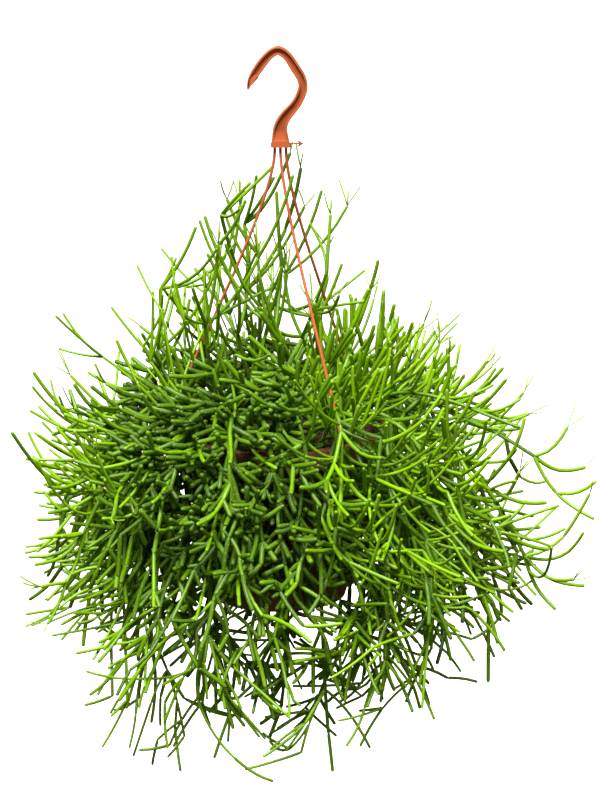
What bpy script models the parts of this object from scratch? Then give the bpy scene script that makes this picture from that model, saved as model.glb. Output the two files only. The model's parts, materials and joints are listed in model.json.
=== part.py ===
"""A rhipsalis (mistletoe cactus) in a hanging pot: pot, snap-on saucer, potting mix, a hook with
three strands, and the rooted cuttings that grow out of the mix. Metres, +Z up. The origin is the
highest point inside the hook's crown, where the hook bears on its rail; the pot hangs below it."""

import math
import random
from dataclasses import dataclass, field

import bmesh
import bpy
import numpy as np
from mathutils import Quaternion, Vector

MM = 0.001
GAP = 0.3 * MM

# Pot
RIM_TOP = -323.5 * MM
RIM_RADIUS = 100 * MM
COLLAR_HEIGHT = 17 * MM
WALL = 1.7 * MM
WALL_TOP_RADIUS = 92.5 * MM
WALL_FOOT_RADIUS = 68.5 * MM
STEP_Z = RIM_TOP - 132.5 * MM
FOOT_RADIUS = 60.5 * MM
FOOT_Z = STEP_Z - 8 * MM
FLOOR = 2.2 * MM
FLANGE = 2 * MM
RIM_ROUND = 1 * MM
DRAFT = 0.8 * MM
POT_SIDES = 32
DRAIN_RADIUS = 4 * MM
DRAIN_RING_RADIUS = 40 * MM
DRAIN_COUNT = 6

# Saucer
SAUCER_RIM_RADIUS = 64.5 * MM
SAUCER_FOOT_RADIUS = 59 * MM
SAUCER_BASE_Z = STEP_Z - 20.5 * MM
SAUCER_WALL = 1.6 * MM
SAUCER_RIM_GAP = 1.2 * MM
STUD_RADIUS = 3.6 * MM
STUD_SHOULDER_RADIUS = 8 * MM
STUD_HEAD_RADIUS = 5.6 * MM
STUD_HEAD_HEIGHT = 3 * MM
STUD_SIDES = 12

# Potting mix
SOIL_TOP_Z = RIM_TOP - 13 * MM
SOIL_MOUND = 5 * MM

# Hook: an H section that follows a spine in the X-Z plane. Each row of the spine is x, z and half the
# width there, in millimetres, from the tip over the crown to the base.
HOOK_SPINE = (
    (-25.2, -29.3, 0.8),
    (-22.7, -21.6, 2.8),
    (-16.6, -12.0, 4.0),
    (-7.9, -0.9, 3.8),
    (0.0, 3.7, 3.7),
    (7.8, -0.5, 3.7),
    (15.4, -11.6, 4.0),
    (20.7, -20.9, 3.9),
    (21.3, -29.9, 4.0),
    (16.1, -41.3, 4.2),
    (6.4, -53.2, 4.9),
    (2.3, -63.2, 6.0),
    (2.4, -75.0, 7.6),
)
HOOK_STEPS = 2
HOOK_THICKNESS = 8 * MM
HOOK_EDGE = 1.7 * MM
HOOK_RECESS = 2.4 * MM
HOOK_BASE_X = 2.4 * MM
HOOK_BASE_TOP_Z = -73.4 * MM
HOOK_BASE_BOTTOM_Z = -79 * MM
HOOK_BASE_WIDTH = 16.6 * MM
HOOK_BASE_DEPTH = 9 * MM

# Label barb: an arrow's outline from the base's end outward, in millimetres
LABEL_BARB_DEPTH = 1 * MM
LABEL_BARB = (
    (-1, -0.6), (7.6, -0.6), (6.2, -2.6), (7.4, -2.6), (11.4, 0),
    (7.4, 2.6), (6.2, 2.6), (7.6, 0.6), (-1, 0.6),
)

# Strands: where each one meets the rim, in degrees round the pot from +X towards +Y, and how far
# from the middle of the hook's base it starts
STRANDS = {"strand_left": (178, -4.8 * MM), "strand_front": (-55, 0.0), "strand_back": (41, 4.8 * MM)}
STRAND_RADIUS = 1.3 * MM
STRAND_RING_RADIUS = 95.6 * MM
STRAND_SAG = 45 * MM
STRAND_SPANS = 12
STRAND_SIDES = 6
SOCKET_DEPTH = 4.5 * MM
BARB_RADIUS = 2.0 * MM
BARB_HEIGHT = 3 * MM

# Plant
PLANT_SEED = 22
STEM_DEPTH = 8 * MM
STEM_SIDES = 5
FORK_SIDES = 4

# Colours, in linear light
POT_COLOUR = (0.16, 0.055, 0.03)
HANGER_COLOUR = (0.56, 0.15, 0.065)
MIX_COLOUR = (0.035, 0.022, 0.014)
STEM_COLOURS = {
    "upright": (0.2, 0.36, 0.04),
    "crown": (0.09, 0.2, 0.02),
    "reaching": (0.22, 0.4, 0.04),
    "spreading": (0.17, 0.32, 0.03),
    "trailing": (0.1, 0.22, 0.03),
    "draping": (0.08, 0.18, 0.03),
}
SHARP_ANGLE = math.radians(40)

# The bush is roughly an ellipsoid round BUSH_CENTRE. It is wider to +X, the side that had the light.
BUSH_CENTRE = Vector((0, 0, RIM_TOP - 79 * MM))
BUSH_RIGHT = 258 * MM
BUSH_LEFT = 215 * MM
BUSH_DEPTH = 222 * MM
BUSH_UP = 165 * MM
BUSH_DOWN = 235 * MM
BUSH_LIMIT = 1.0
REACHING_LIMIT = 1.12
UPRIGHT_PEAK_Z = RIM_TOP + 255 * MM
UPRIGHT_PEAK_RADIUS = 25 * MM
UPRIGHT_SLOPE = 0.62
OUTWARD = 0.35
GOLDEN_ANGLE = 137.508
UP = Vector((0, 0, 1))

# The grid of cells over the space round the pot, which keeps the stems clear of each other
CELL = 2 * MM
ROOM_HALF_WIDTH = 330 * MM
ROOM_LOW_Z = -670 * MM
ROOM_HIGH_Z = 0.0
ROOM_MARGIN = 4.6 * MM
PROBE_STEP = 1.5 * MM
OWN_LENGTH = 12 * MM
TIP_INSET = 1.5 * MM
FREE = 0
SOIL = -1
POT = -2
HANGER = -3


@dataclass
class Habit:
    """How one kind of shoot grows. Lengths and radii are in metres, turns in degrees."""
    main_radius: float
    spans: int
    tip_joints: int
    side_joints: int
    length: tuple
    turn: tuple
    radius: float


HABITS = {
    "upright": Habit(2.0 * MM, 5, 3, 3, (45 * MM, 88 * MM), (15, 50), 1.6 * MM),
    "reaching": Habit(2.2 * MM, 6, 3, 3, (50 * MM, 80 * MM), (15, 42), 1.7 * MM),
    "crown": Habit(2.4 * MM, 4, 3, 3, (30 * MM, 52 * MM), (25, 62), 2.1 * MM),
    "spreading": Habit(2.2 * MM, 5, 3, 3, (50 * MM, 82 * MM), (18, 48), 1.8 * MM),
    "trailing": Habit(2.3 * MM, 6, 3, 3, (50 * MM, 85 * MM), (15, 48), 1.8 * MM),
    "draping": Habit(2.5 * MM, 7, 3, 3, (30 * MM, 54 * MM), (20, 55), 2.1 * MM),
}

# Shoots that stand out of the bush: the azimuth and radius of the root, the tip's place from the middle
# of the pot's rim, and how far the middle of the shoot leans aside (upright) or hangs (reaching), in mm
UPRIGHT_SHOOTS = (
    (120, 30, (-35, 0, 81), -8),
    (170, 45, (-62, -25, 96), -14),
    (60, 25, (-10, 10, 91), 0),
    (80, 50, (-28, 40, 111), -12),
    (20, 40, (20, 15, 76), 4),
    (200, 60, (-105, 10, 66), -10),
    (330, 45, (50, 30, 59), 8),
)
REACHING_SHOOTS = (
    (8, 66, (222, -35, -20), 12),
    (-28, 64, (205, -90, 20), 12),
    (-12, 54, (212, -75, -98), 24),
    (28, 62, (185, 105, -10), 12),
    (192, 66, (-176, -25, -38), 0),
    (214, 62, (-165, -95, -72), 6),
    (163, 60, (-165, 70, -55), 4),
)

# Old shoots drape over the rim at the front, close to the pot's wall. Every other one hangs on below the
# pot. Each row has the azimuth, the rise (a sine) and the share of the way out of the bush
DRAPING_SHOOTS = (
    (-152, -0.28, 0.53),
    (-128, -0.62, 0.54),
    (-116, -0.28, 0.53),
    (-100, -0.62, 0.54),
    (-86, -0.28, 0.53),
    (-70, -0.62, 0.54),
    (-54, -0.28, 0.53),
    (-36, -0.62, 0.52),
    (-20, -0.28, 0.56),
)

# The other shoots point every way from the bush's centre, from LOWEST up to HIGHEST (sines)
SHOOT_COUNT = 32
LOWEST = -0.92
HIGHEST = 0.95
SHOOT_SHARE = 0.74
SECOND_RANK_FORKS = 4
SHOOT_TRIES = 200
JOINT_TRIES = 40


@dataclass
class Joint:
    """One joint of a stem: its centreline from base to tip, its radius and its rank."""
    points: list
    radius: float
    rank: int

    @property
    def heading(self):
        return (self.points[-1] - self.points[-2]).normalized()


@dataclass
class Stem:
    """One rooted cutting: a main shoot and all the joints that grew on it."""
    name: str
    habit: str
    number: int
    joints: list = field(default_factory=list)


class Room:
    """A grid over the space round the pot. Each cell holds FREE, or who is in it."""

    def __init__(self, margin):
        self.margin = margin
        self.low = np.array([-ROOM_HALF_WIDTH, -ROOM_HALF_WIDTH, ROOM_LOW_Z])
        size = np.array([2 * ROOM_HALF_WIDTH, 2 * ROOM_HALF_WIDTH, ROOM_HIGH_Z - ROOM_LOW_Z])
        self.cells = np.zeros(np.ceil(size / CELL).astype(int), np.int16)

    def centres(self, first, last):
        return [self.low[i] + (np.arange(first[i], last[i]) + 0.5) * CELL for i in range(3)]

    def fill_pot(self):
        """Marks the pot, its collar and saucer, and the mix inside it."""
        x, y, z = self.centres((0, 0, 0), self.cells.shape)
        radius = np.sqrt(x[:, None] ** 2 + y[None, :] ** 2)
        collar_foot = RIM_TOP - COLLAR_HEIGHT
        inside = WALL_TOP_RADIUS - WALL
        for k, height in enumerate(z):
            if SAUCER_BASE_Z - self.margin < height < RIM_TOP + self.margin:
                share = min(1, max(0, (collar_foot - self.margin - height) / (collar_foot - STEP_Z)))
                outer = RIM_RADIUS + share * (WALL_FOOT_RADIUS - RIM_RADIUS)
                layer = self.cells[:, :, k]
                layer[radius < outer + self.margin] = POT
                layer[radius < inside - self.margin] = FREE
                if height < SOIL_TOP_Z + SOIL_MOUND + self.margin:
                    layer[radius < inside - self.margin] = SOIL

    def fill(self, points, radius, owner):
        """Marks the cells within radius and margin of a line through points."""
        reach = radius + self.margin
        for start, end in zip(points, points[1:]):
            a, b = np.array(start), np.array(end)
            first = np.maximum(np.floor((np.minimum(a, b) - reach - self.low) / CELL).astype(int), 0)
            last = np.ceil((np.maximum(a, b) + reach - self.low) / CELL).astype(int)
            last = np.minimum(last, self.cells.shape)
            if (last <= first).any():
                continue
            x, y, z = self.centres(first, last)
            px, py, pz = x[:, None, None] - a[0], y[None, :, None] - a[1], z[None, None, :] - a[2]
            d = b - a
            along = (px * d[0] + py * d[1] + pz * d[2]) / (d[0] * d[0] + d[1] * d[1] + d[2] * d[2])
            along = np.clip(along, 0, 1)
            gap = (px - along * d[0]) ** 2 + (py - along * d[1]) ** 2 + (pz - along * d[2]) ** 2
            block = self.cells[first[0]:last[0], first[1]:last[1], first[2]:last[2]]
            block[(gap < reach * reach) & ((block == FREE) | (block == SOIL))] = owner

    def is_free(self, points, owner, own_length, rooted=False):
        """Whether a line touches nothing. It may touch its own stem near its base, and the mix if rooted."""
        probes = [points[0]]
        walked = [0.0]
        for start, end in zip(points, points[1:]):
            length = (end - start).length
            steps = max(1, int(length / PROBE_STEP))
            for i in range(1, steps + 1):
                probes.append(start.lerp(end, i / steps))
                walked.append(walked[-1] + length / steps)
        index = np.floor((np.array(probes) - self.low) / CELL).astype(int)
        if (index < 0).any() or (index >= self.cells.shape).any():
            return False
        found = self.cells[index[:, 0], index[:, 1], index[:, 2]]
        allowed = (found == FREE) | ((found == owner) & (np.array(walked) < own_length))
        if rooted:
            allowed |= found == SOIL
        return bool(allowed.all())


def polar(radius, azimuth, z):
    angle = math.radians(azimuth)
    return Vector((radius * math.cos(angle), radius * math.sin(angle), z))


def bezier(control, spans):
    """Points along the cubic curve that four control points give."""
    points = []
    for i in range(spans + 1):
        t = i / spans
        s = 1 - t
        weights = (s * s * s, 3 * s * s * t, 3 * s * t * t, t * t * t)
        points.append(sum((p * w for p, w in zip(control, weights)), Vector()))
    return points


def strand_line(azimuth, offset):
    """The part of a strand between the hook's base and the pot's rim."""
    top = Vector((HOOK_BASE_X + offset, 0, HOOK_BASE_BOTTOM_Z - 2 * MM))
    foot = polar(STRAND_RING_RADIUS, azimuth, RIM_TOP + 3 * MM)
    return bezier([top, top - UP * STRAND_SAG, foot.lerp(top, 0.3), foot], STRAND_SPANS)


def bushiness(point):
    """0 at the middle of the bush, 1 on the ellipsoid that bounds it."""
    p = point - BUSH_CENTRE
    wide = BUSH_RIGHT if p.x > 0 else BUSH_LEFT
    tall = BUSH_UP if p.z > 0 else BUSH_DOWN
    return math.sqrt((p.x / wide) ** 2 + (p.y / BUSH_DEPTH) ** 2 + (p.z / tall) ** 2)


def inside_bush(point, habit):
    """Whether a joint of this habit may end at this point."""
    if habit == "upright":
        widest = UPRIGHT_PEAK_RADIUS + (UPRIGHT_PEAK_Z - point.z) * UPRIGHT_SLOPE
        return point.z < UPRIGHT_PEAK_Z and math.hypot(point.x, point.y) < widest
    return bushiness(point) < (REACHING_LIMIT if habit == "reaching" else BUSH_LIMIT)


def placed_route(rng, habit, plan):
    """Control points of a shoot whose tip is given."""
    azimuth, root_radius, tip, lean = plan
    root = polar(root_radius * MM, azimuth, SOIL_TOP_Z - STEM_DEPTH)
    tip = Vector(tip) * MM + UP * RIM_TOP
    wobble = Vector((rng.uniform(-9, 9), rng.uniform(-9, 9), rng.uniform(-6, 6))) * MM
    if habit == "upright":
        aside = Vector((lean * MM, 0, 0))
        return [root, root + aside + wobble + UP * 40 * MM, root.lerp(tip, 0.7) + aside + wobble, tip]
    over_rim = root * 1.1 + wobble
    over_rim.z = RIM_TOP + rng.uniform(55, 85) * MM
    outside = root.lerp(tip, 0.72) + wobble - UP * (lean * MM + root.z - tip.z) * 0.5
    outside.z = max(outside.z, RIM_TOP + 5 * MM)
    return [root, over_rim, outside, tip]


def grown_route(rng, habit, plan):
    """Control points of a shoot that points a given way from the middle of the bush."""
    azimuth, rise, share = plan
    azimuth += rng.uniform(-14, 14)
    swing = rng.uniform(-14, 14)
    level = math.sqrt(1 - rise * rise)
    way = polar(level, azimuth + swing, rise + rng.uniform(-0.05, 0.05))
    tip = BUSH_CENTRE + way * (share * rng.uniform(0.9, 1.08) / bushiness(BUSH_CENTRE + way))
    reach = math.hypot(tip.x, tip.y)
    root = 82 * MM if habit == "draping" else min(84 * MM, max(12 * MM, reach * 0.45))
    root *= rng.uniform(0.8, 1)
    if tip.z > RIM_TOP + 30 * MM:
        shoulder = (root + reach) / 2
        shoulder_z = tip.z + rng.uniform(0, 20) * MM
    else:
        shoulder = max(reach * 0.8, 128 * MM) * rng.uniform(1, 1.25)
        shoulder_z = RIM_TOP + rng.uniform(10, 65) * MM
    return [polar(root, azimuth - swing, SOIL_TOP_Z - STEM_DEPTH),
            polar(root + (shoulder - root) * 0.2, azimuth - swing, RIM_TOP + rng.uniform(30, 80) * MM),
            polar(shoulder, azimuth, shoulder_z),
            tip]


def planned_stems():
    """The habit and the plan of every stem: a placed shoot's row, or a grown shoot's way."""
    plans = [("upright", plan) for plan in UPRIGHT_SHOOTS]
    plans += [("reaching", plan) for plan in REACHING_SHOOTS]
    plans += [("draping", plan) for plan in DRAPING_SHOOTS]
    for i in range(SHOOT_COUNT):
        rise = LOWEST + (HIGHEST - LOWEST) * (i + 0.5) / SHOOT_COUNT
        habit = "crown" if rise > 0.6 else "spreading" if rise > -0.15 else "trailing"
        plans.append((habit, (i * GOLDEN_ANGLE, rise, SHOOT_SHARE)))
    return plans


def main_shoot(rng, habit, plan, number, room):
    """The first joint of a stem, where the room lets it through."""
    rule = HABITS[habit]
    for _ in range(SHOOT_TRIES):
        if habit in ("upright", "reaching"):
            route = placed_route(rng, habit, plan)
        else:
            route = grown_route(rng, habit, plan)
        if room.is_free(bezier(route, rule.spans), number, 0, rooted=True):
            return Joint(bezier(route, rule.spans), rule.main_radius, 0)
    return None


def bend_of(rng, point, habit):
    """How a joint curves: up towards the light, outward, or down under its own weight."""
    p = point - BUSH_CENTRE
    out = Vector((p.x, p.y, 0)).normalized()
    if habit == "upright":
        lift = rng.uniform(-0.2, 0.6)
    elif p.z > 20 * MM:
        lift = 0.35
    elif p.z > -60 * MM:
        lift = 0.15
    else:
        lift = -0.15
    if habit == "reaching":
        lift += 0.25
    if habit == "trailing":
        lift -= 0.25
    jitter = Vector((rng.gauss(0, 0.12), rng.gauss(0, 0.12), rng.gauss(0, 0.12)))
    return UP * lift * rng.uniform(0.3, 1.3) + out * 0.12 + jitter


def turned_off(rng, heading, low, high):
    """A direction turned off heading by low to high degrees, to any side."""
    side = Quaternion(heading, rng.uniform(0, 2 * math.pi)) @ heading.orthogonal().normalized()
    return (Quaternion(side, math.radians(rng.uniform(low, high))) @ heading).normalized()


def curved_line(start, heading, length, bend, spans):
    """A centreline that leaves start along heading and turns towards bend."""
    shares = [i / spans for i in range(spans + 1)]
    return [start + heading * length * share + bend * length * share * share / 2 for share in shares]


def grow_joint(rng, stem, parent, at_tip, spans, room):
    """Adds one joint to a stem, at the tip or on the side of its parent, if there is room."""
    rule = HABITS[stem.habit]
    for _ in range(JOINT_TRIES):
        if at_tip:
            heading = parent.heading
            start = parent.points[-1] - heading * TIP_INSET
        else:
            i = rng.randrange(max(1, len(parent.points) // 2 - 1), len(parent.points) - 1)
            start = parent.points[i]
            heading = (parent.points[i + 1] - parent.points[i]).normalized()
        way = turned_off(rng, heading, *rule.turn)
        if stem.habit != "upright":
            way = (way + (start - BUSH_CENTRE).normalized() * OUTWARD).normalized()
        length = rng.uniform(*rule.length)
        points = curved_line(start, way, length, bend_of(rng, start, stem.habit), spans)
        radius = rule.radius * rng.uniform(0.85, 1.1)
        if inside_bush(points[-1], stem.habit) and room.is_free(points, stem.number, OWN_LENGTH):
            joint = Joint(points, radius, parent.rank + 1)
            stem.joints.append(joint)
            room.fill(points, radius, stem.number)
            return joint
    return None


def grow_plant(room):
    """Every stem with its first joints: all main shoots first, then what grows on each."""
    rng = random.Random(PLANT_SEED)
    stems = []
    for habit, plan in planned_stems():
        number = len(stems) + 1
        shoot = main_shoot(rng, habit, plan, number, room)
        if shoot:
            index = 1 + sum(stem.habit == habit for stem in stems)
            stems.append(Stem(f"stem_{habit}_{index:02d}", habit, number, [shoot]))
            room.fill(shoot.points, shoot.radius, number)
    for stem in stems:
        rule = HABITS[stem.habit]
        shoot = stem.joints[0]
        forks = [grow_joint(rng, stem, shoot, True, 2, room) for _ in range(rule.tip_joints)]
        forks += [grow_joint(rng, stem, shoot, False, 2, room) for _ in range(rule.side_joints)]
        for fork in forks[:SECOND_RANK_FORKS]:
            if fork:
                grow_joint(rng, stem, fork, True, 1, room)
    return stems


def finished(name, bm, colour, roughness):
    """Turns a bmesh into an object with a material of its own."""
    mesh = bpy.data.meshes.new(name)
    bm.to_mesh(mesh)
    bm.free()
    piece = bpy.data.objects.new(name, mesh)
    bpy.context.scene.collection.objects.link(piece)
    material = bpy.data.materials.new(name + "_finish")
    material.use_nodes = True
    shader = material.node_tree.nodes["Principled BSDF"]
    shader.inputs["Base Color"].default_value = (*colour, 1)
    shader.inputs["Roughness"].default_value = roughness
    mesh.materials.append(material)
    mesh.shade_smooth()
    mesh.set_sharp_from_angle(angle=SHARP_ANGLE)
    return piece


def add_turned(bm, profile, sides=POT_SIDES):
    """Adds a solid of revolution about Z. A closed profile leaves a hole, one that ends on Z does not."""
    hollow = profile[0][0] > 0
    corners = [bm.verts.new((radius, 0, z)) for radius, z in profile]
    ends = corners[1:] + corners[:1] if hollow else corners[1:]
    edges = [bm.edges.new(pair) for pair in zip(corners, ends)]
    bmesh.ops.spin(bm, geom=corners + edges, axis=UP, angle=2 * math.pi, steps=sides, use_merge=True)
    bmesh.ops.remove_doubles(bm, verts=bm.verts, dist=0.001 * MM)
    bmesh.ops.recalc_face_normals(bm, faces=bm.faces)


def add_prism(bm, outline, y_low, y_high):
    """Adds an outline of (x, z) corners, extruded along Y."""
    near = [bm.verts.new((x, y_low, z)) for x, z in outline]
    far = [bm.verts.new((x, y_high, z)) for x, z in outline]
    bm.faces.new(near)
    bm.faces.new(reversed(far))
    for i in range(len(outline)):
        bm.faces.new((near[i - 1], far[i - 1], far[i], near[i]))


def add_tube(bm, points, radii, sides):
    """Adds a closed tube along points, with a flat end at each end."""
    tangent = (points[1] - points[0]).normalized()
    across = tangent.orthogonal().normalized()
    rings = []
    for i, (point, radius) in enumerate(zip(points, radii)):
        ahead = (points[i + 1] - point).normalized() if i + 1 < len(points) else tangent
        tangent = (tangent + ahead).normalized()
        across = (across - tangent * across.dot(tangent)).normalized()
        over = tangent.cross(across)
        turns = [2 * math.pi * k / sides for k in range(sides)]
        ring = [point + (across * math.cos(turn) + over * math.sin(turn)) * radius for turn in turns]
        rings.append([bm.verts.new(corner) for corner in ring])
        tangent = ahead
    for low, high in zip(rings, rings[1:]):
        for k in range(sides):
            bm.faces.new((low[k - 1], low[k], high[k], high[k - 1]))
    bm.faces.new(reversed(rings[0]))
    bm.faces.new(rings[-1])


def combine(piece, others, operation):
    """Cuts the other bmeshes from a piece, or joins them on, and applies the result."""
    group = bpy.data.collections.new(operation.lower())
    for bm in others:
        mesh = bpy.data.meshes.new("tool")
        bm.to_mesh(mesh)
        bm.free()
        tool = bpy.data.objects.new("tool", mesh)
        tool.hide_render = True
        tool.display_type = "WIRE"
        group.objects.link(tool)
    bpy.context.scene.collection.children.link(group)
    modifier = piece.modifiers.new(operation.title(), "BOOLEAN")
    modifier.operation = operation
    modifier.operand_type = "COLLECTION"
    modifier.collection = group
    modifier.solver = "EXACT"
    settled = piece.evaluated_get(bpy.context.evaluated_depsgraph_get())
    mesh = bpy.data.meshes.new_from_object(settled)
    piece.modifiers.clear()
    piece.data = mesh
    mesh.name = piece.name
    for tool in list(group.objects):
        bpy.data.meshes.remove(tool.data)
    bpy.data.collections.remove(group)


def post(x, y, low, high, radius, sides=STUD_SIDES):
    """A plain upright cylinder as a bmesh."""
    bm = bmesh.new()
    add_tube(bm, [Vector((x, y, low)), Vector((x, y, high))], [radius, radius], sides)
    return bm


def build_pot():
    """The pot: stepped foot, tapering wall, and a collar that hangs from a flange at the rim."""
    collar_foot = RIM_TOP - COLLAR_HEIGHT
    flange_foot = RIM_TOP - FLANGE
    hole = STUD_RADIUS + GAP
    profile = [
        (hole, FOOT_Z),
        (FOOT_RADIUS, FOOT_Z),
        (FOOT_RADIUS + DRAFT, STEP_Z),
        (WALL_FOOT_RADIUS, STEP_Z),
        (WALL_TOP_RADIUS, flange_foot),
        (RIM_RADIUS - WALL, flange_foot),
        (RIM_RADIUS - WALL, collar_foot),
        (RIM_RADIUS, collar_foot),
        (RIM_RADIUS, RIM_TOP - RIM_ROUND),
        (RIM_RADIUS - RIM_ROUND, RIM_TOP),
        (WALL_TOP_RADIUS - WALL, RIM_TOP),
        (WALL_FOOT_RADIUS - WALL, STEP_Z + FLOOR),
        (FOOT_RADIUS - WALL, STEP_Z + FLOOR),
        (FOOT_RADIUS - WALL, FOOT_Z + FLOOR),
        (hole, FOOT_Z + FLOOR),
    ]
    bm = bmesh.new()
    add_turned(bm, profile)
    pot = finished("pot", bm, POT_COLOUR, 0.45)
    cutters = []
    for i in range(DRAIN_COUNT):
        spot = polar(DRAIN_RING_RADIUS, i * 360 / DRAIN_COUNT, 0)
        cutters.append(post(spot.x, spot.y, FOOT_Z - FLOOR, FOOT_Z + 2 * FLOOR, DRAIN_RADIUS))
    for azimuth, _ in STRANDS.values():
        spot = polar(STRAND_RING_RADIUS, azimuth, 0)
        low, high = flange_foot - FLANGE, RIM_TOP + FLANGE
        cutters.append(post(spot.x, spot.y, low, high, STRAND_RADIUS + GAP, STRAND_SIDES))
    combine(pot, cutters, "DIFFERENCE")


def build_saucer():
    """The saucer, with the shouldered stud that snaps through the pot's floor."""
    rim_z = STEP_Z - SAUCER_RIM_GAP
    shoulder_z = FOOT_Z - GAP
    head_z = FOOT_Z + FLOOR + GAP
    profile = [
        (0, SAUCER_BASE_Z),
        (SAUCER_FOOT_RADIUS, SAUCER_BASE_Z),
        (SAUCER_RIM_RADIUS, rim_z),
        (SAUCER_RIM_RADIUS - SAUCER_WALL, rim_z),
        (SAUCER_FOOT_RADIUS - SAUCER_WALL, SAUCER_BASE_Z + SAUCER_WALL),
        (STUD_SHOULDER_RADIUS, SAUCER_BASE_Z + SAUCER_WALL),
        (STUD_SHOULDER_RADIUS, shoulder_z),
        (STUD_RADIUS, shoulder_z),
        (STUD_RADIUS, head_z),
        (STUD_HEAD_RADIUS, head_z),
        (STUD_RADIUS, head_z + STUD_HEAD_HEIGHT),
        (0, head_z + STUD_HEAD_HEIGHT),
    ]
    bm = bmesh.new()
    add_turned(bm, profile)
    finished("saucer", bm, POT_COLOUR, 0.5)


def build_mix(stems):
    """The potting mix, with a hole where each cutting is planted and a pocket over the stud."""
    low = FOOT_Z + FLOOR + GAP
    pocket_top = FOOT_Z + FLOOR + STUD_HEAD_HEIGHT + 4 * GAP
    side = GAP / math.cos(math.pi / POT_SIDES)
    share = (SOIL_TOP_Z - STEP_Z - FLOOR) / (RIM_TOP - STEP_Z - FLOOR)
    shelf_radius = WALL_FOOT_RADIUS - WALL
    top_radius = shelf_radius + (WALL_TOP_RADIUS - WALL_FOOT_RADIUS) * share
    profile = [
        (0, pocket_top),
        (STUD_HEAD_RADIUS + GAP, pocket_top),
        (STUD_HEAD_RADIUS + 2 * GAP, low),
        (FOOT_RADIUS - WALL - side, low),
        (FOOT_RADIUS - WALL - side, STEP_Z + FLOOR + GAP),
        (shelf_radius - 1.2 * side, STEP_Z + FLOOR + GAP),
        (top_radius - 1.2 * side, SOIL_TOP_Z),
        (top_radius * 0.6, SOIL_TOP_Z + SOIL_MOUND * 0.7),
        (0, SOIL_TOP_Z + SOIL_MOUND),
    ]
    bm = bmesh.new()
    add_turned(bm, profile)
    mix = finished("potting_mix", bm, MIX_COLOUR, 0.95)
    holes = []
    for stem in stems:
        shoot = stem.joints[0]
        start = shoot.points[0] - (shoot.points[1] - shoot.points[0]).normalized() * GAP
        radius = shoot.radius + GAP / math.cos(math.pi / STEM_SIDES)
        hole = bmesh.new()
        add_tube(hole, [start] + shoot.points[1:3], [radius] * 3, STEM_SIDES)
        holes.append(hole)
    combine(mix, holes, "DIFFERENCE")


def smooth_rows(rows, steps):
    """Rows of numbers filled in with points on a smooth (Catmull-Rom) curve through them."""
    rows = [np.array(row, float) for row in rows]
    ends = [2 * rows[0] - rows[1]] + rows + [2 * rows[-1] - rows[-2]]
    out = []
    for a, b, c, d in zip(ends, ends[1:], ends[2:], ends[3:]):
        for i in range(steps):
            t = i / steps
            curve = 2 * b + (c - a) * t + (2 * a - 5 * b + 4 * c - d) * t * t
            out.append((curve + (3 * b - a - 3 * c + d) * t * t * t) / 2)
    return out + [rows[-1]]


def hook_section(half_width, recess):
    """The corners of the hook's H section: a web between two edges, as (across, y)."""
    edge = min(HOOK_EDGE, half_width * 0.45)
    half = HOOK_THICKNESS / 2
    quarter = [(half_width, half), (half_width - edge, half), (half_width - edge, half - recess)]
    right = [(x, -y) for x, y in reversed(quarter)] + quarter
    return right + [(-x, -y) for x, y in right]


def build_hook():
    """The hook: a curved H section, a base bar with three sockets, and a barb for a plant label."""
    rows = smooth_rows(HOOK_SPINE, HOOK_STEPS)
    bm = bmesh.new()
    rings = []
    for i, (x, z, half_width) in enumerate(rows):
        after, before = rows[min(i + 1, len(rows) - 1)], rows[max(i - 1, 0)]
        along = Vector((after[0] - before[0], 0, after[1] - before[1])).normalized()
        across = Vector((-along.z, 0, along.x))
        depth = min(1, i / HOOK_STEPS, (len(rows) - 1 - i) / HOOK_STEPS)
        recess = (0.15 + 0.85 * depth) * HOOK_RECESS
        centre = Vector((x, 0, z)) * MM
        corners = [centre + across * u + Vector((0, v, 0)) for u, v in hook_section(half_width * MM, recess)]
        rings.append([bm.verts.new(corner) for corner in corners])
    for low, high in zip(rings, rings[1:]):
        for k in range(len(low)):
            bm.faces.new((low[k - 1], low[k], high[k], high[k - 1]))
    bm.faces.new(rings[0])
    bm.faces.new(rings[-1])
    bmesh.ops.recalc_face_normals(bm, faces=bm.faces)
    hook = finished("hanger_hook", bm, HANGER_COLOUR, 0.4)
    left, right = HOOK_BASE_X - HOOK_BASE_WIDTH / 2, HOOK_BASE_X + HOOK_BASE_WIDTH / 2
    bar = bmesh.new()
    outline = [(left, HOOK_BASE_BOTTOM_Z), (right, HOOK_BASE_BOTTOM_Z), (right, HOOK_BASE_TOP_Z),
               (left, HOOK_BASE_TOP_Z)]
    add_prism(bar, outline, -HOOK_BASE_DEPTH / 2, HOOK_BASE_DEPTH / 2)
    barb = bmesh.new()
    middle = (HOOK_BASE_BOTTOM_Z + HOOK_BASE_TOP_Z) / 2
    outline = [(right + x * MM, middle + z * MM) for x, z in LABEL_BARB]
    add_prism(barb, outline, -LABEL_BARB_DEPTH / 2, LABEL_BARB_DEPTH / 2)
    combine(hook, [bar, barb], "UNION")
    low, high = HOOK_BASE_BOTTOM_Z - SOCKET_DEPTH, HOOK_BASE_BOTTOM_Z + SOCKET_DEPTH
    holes = [post(HOOK_BASE_X + offset, 0, low, high, STRAND_RADIUS + GAP, STRAND_SIDES)
             for _, offset in STRANDS.values()]
    combine(hook, holes, "DIFFERENCE")


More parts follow.
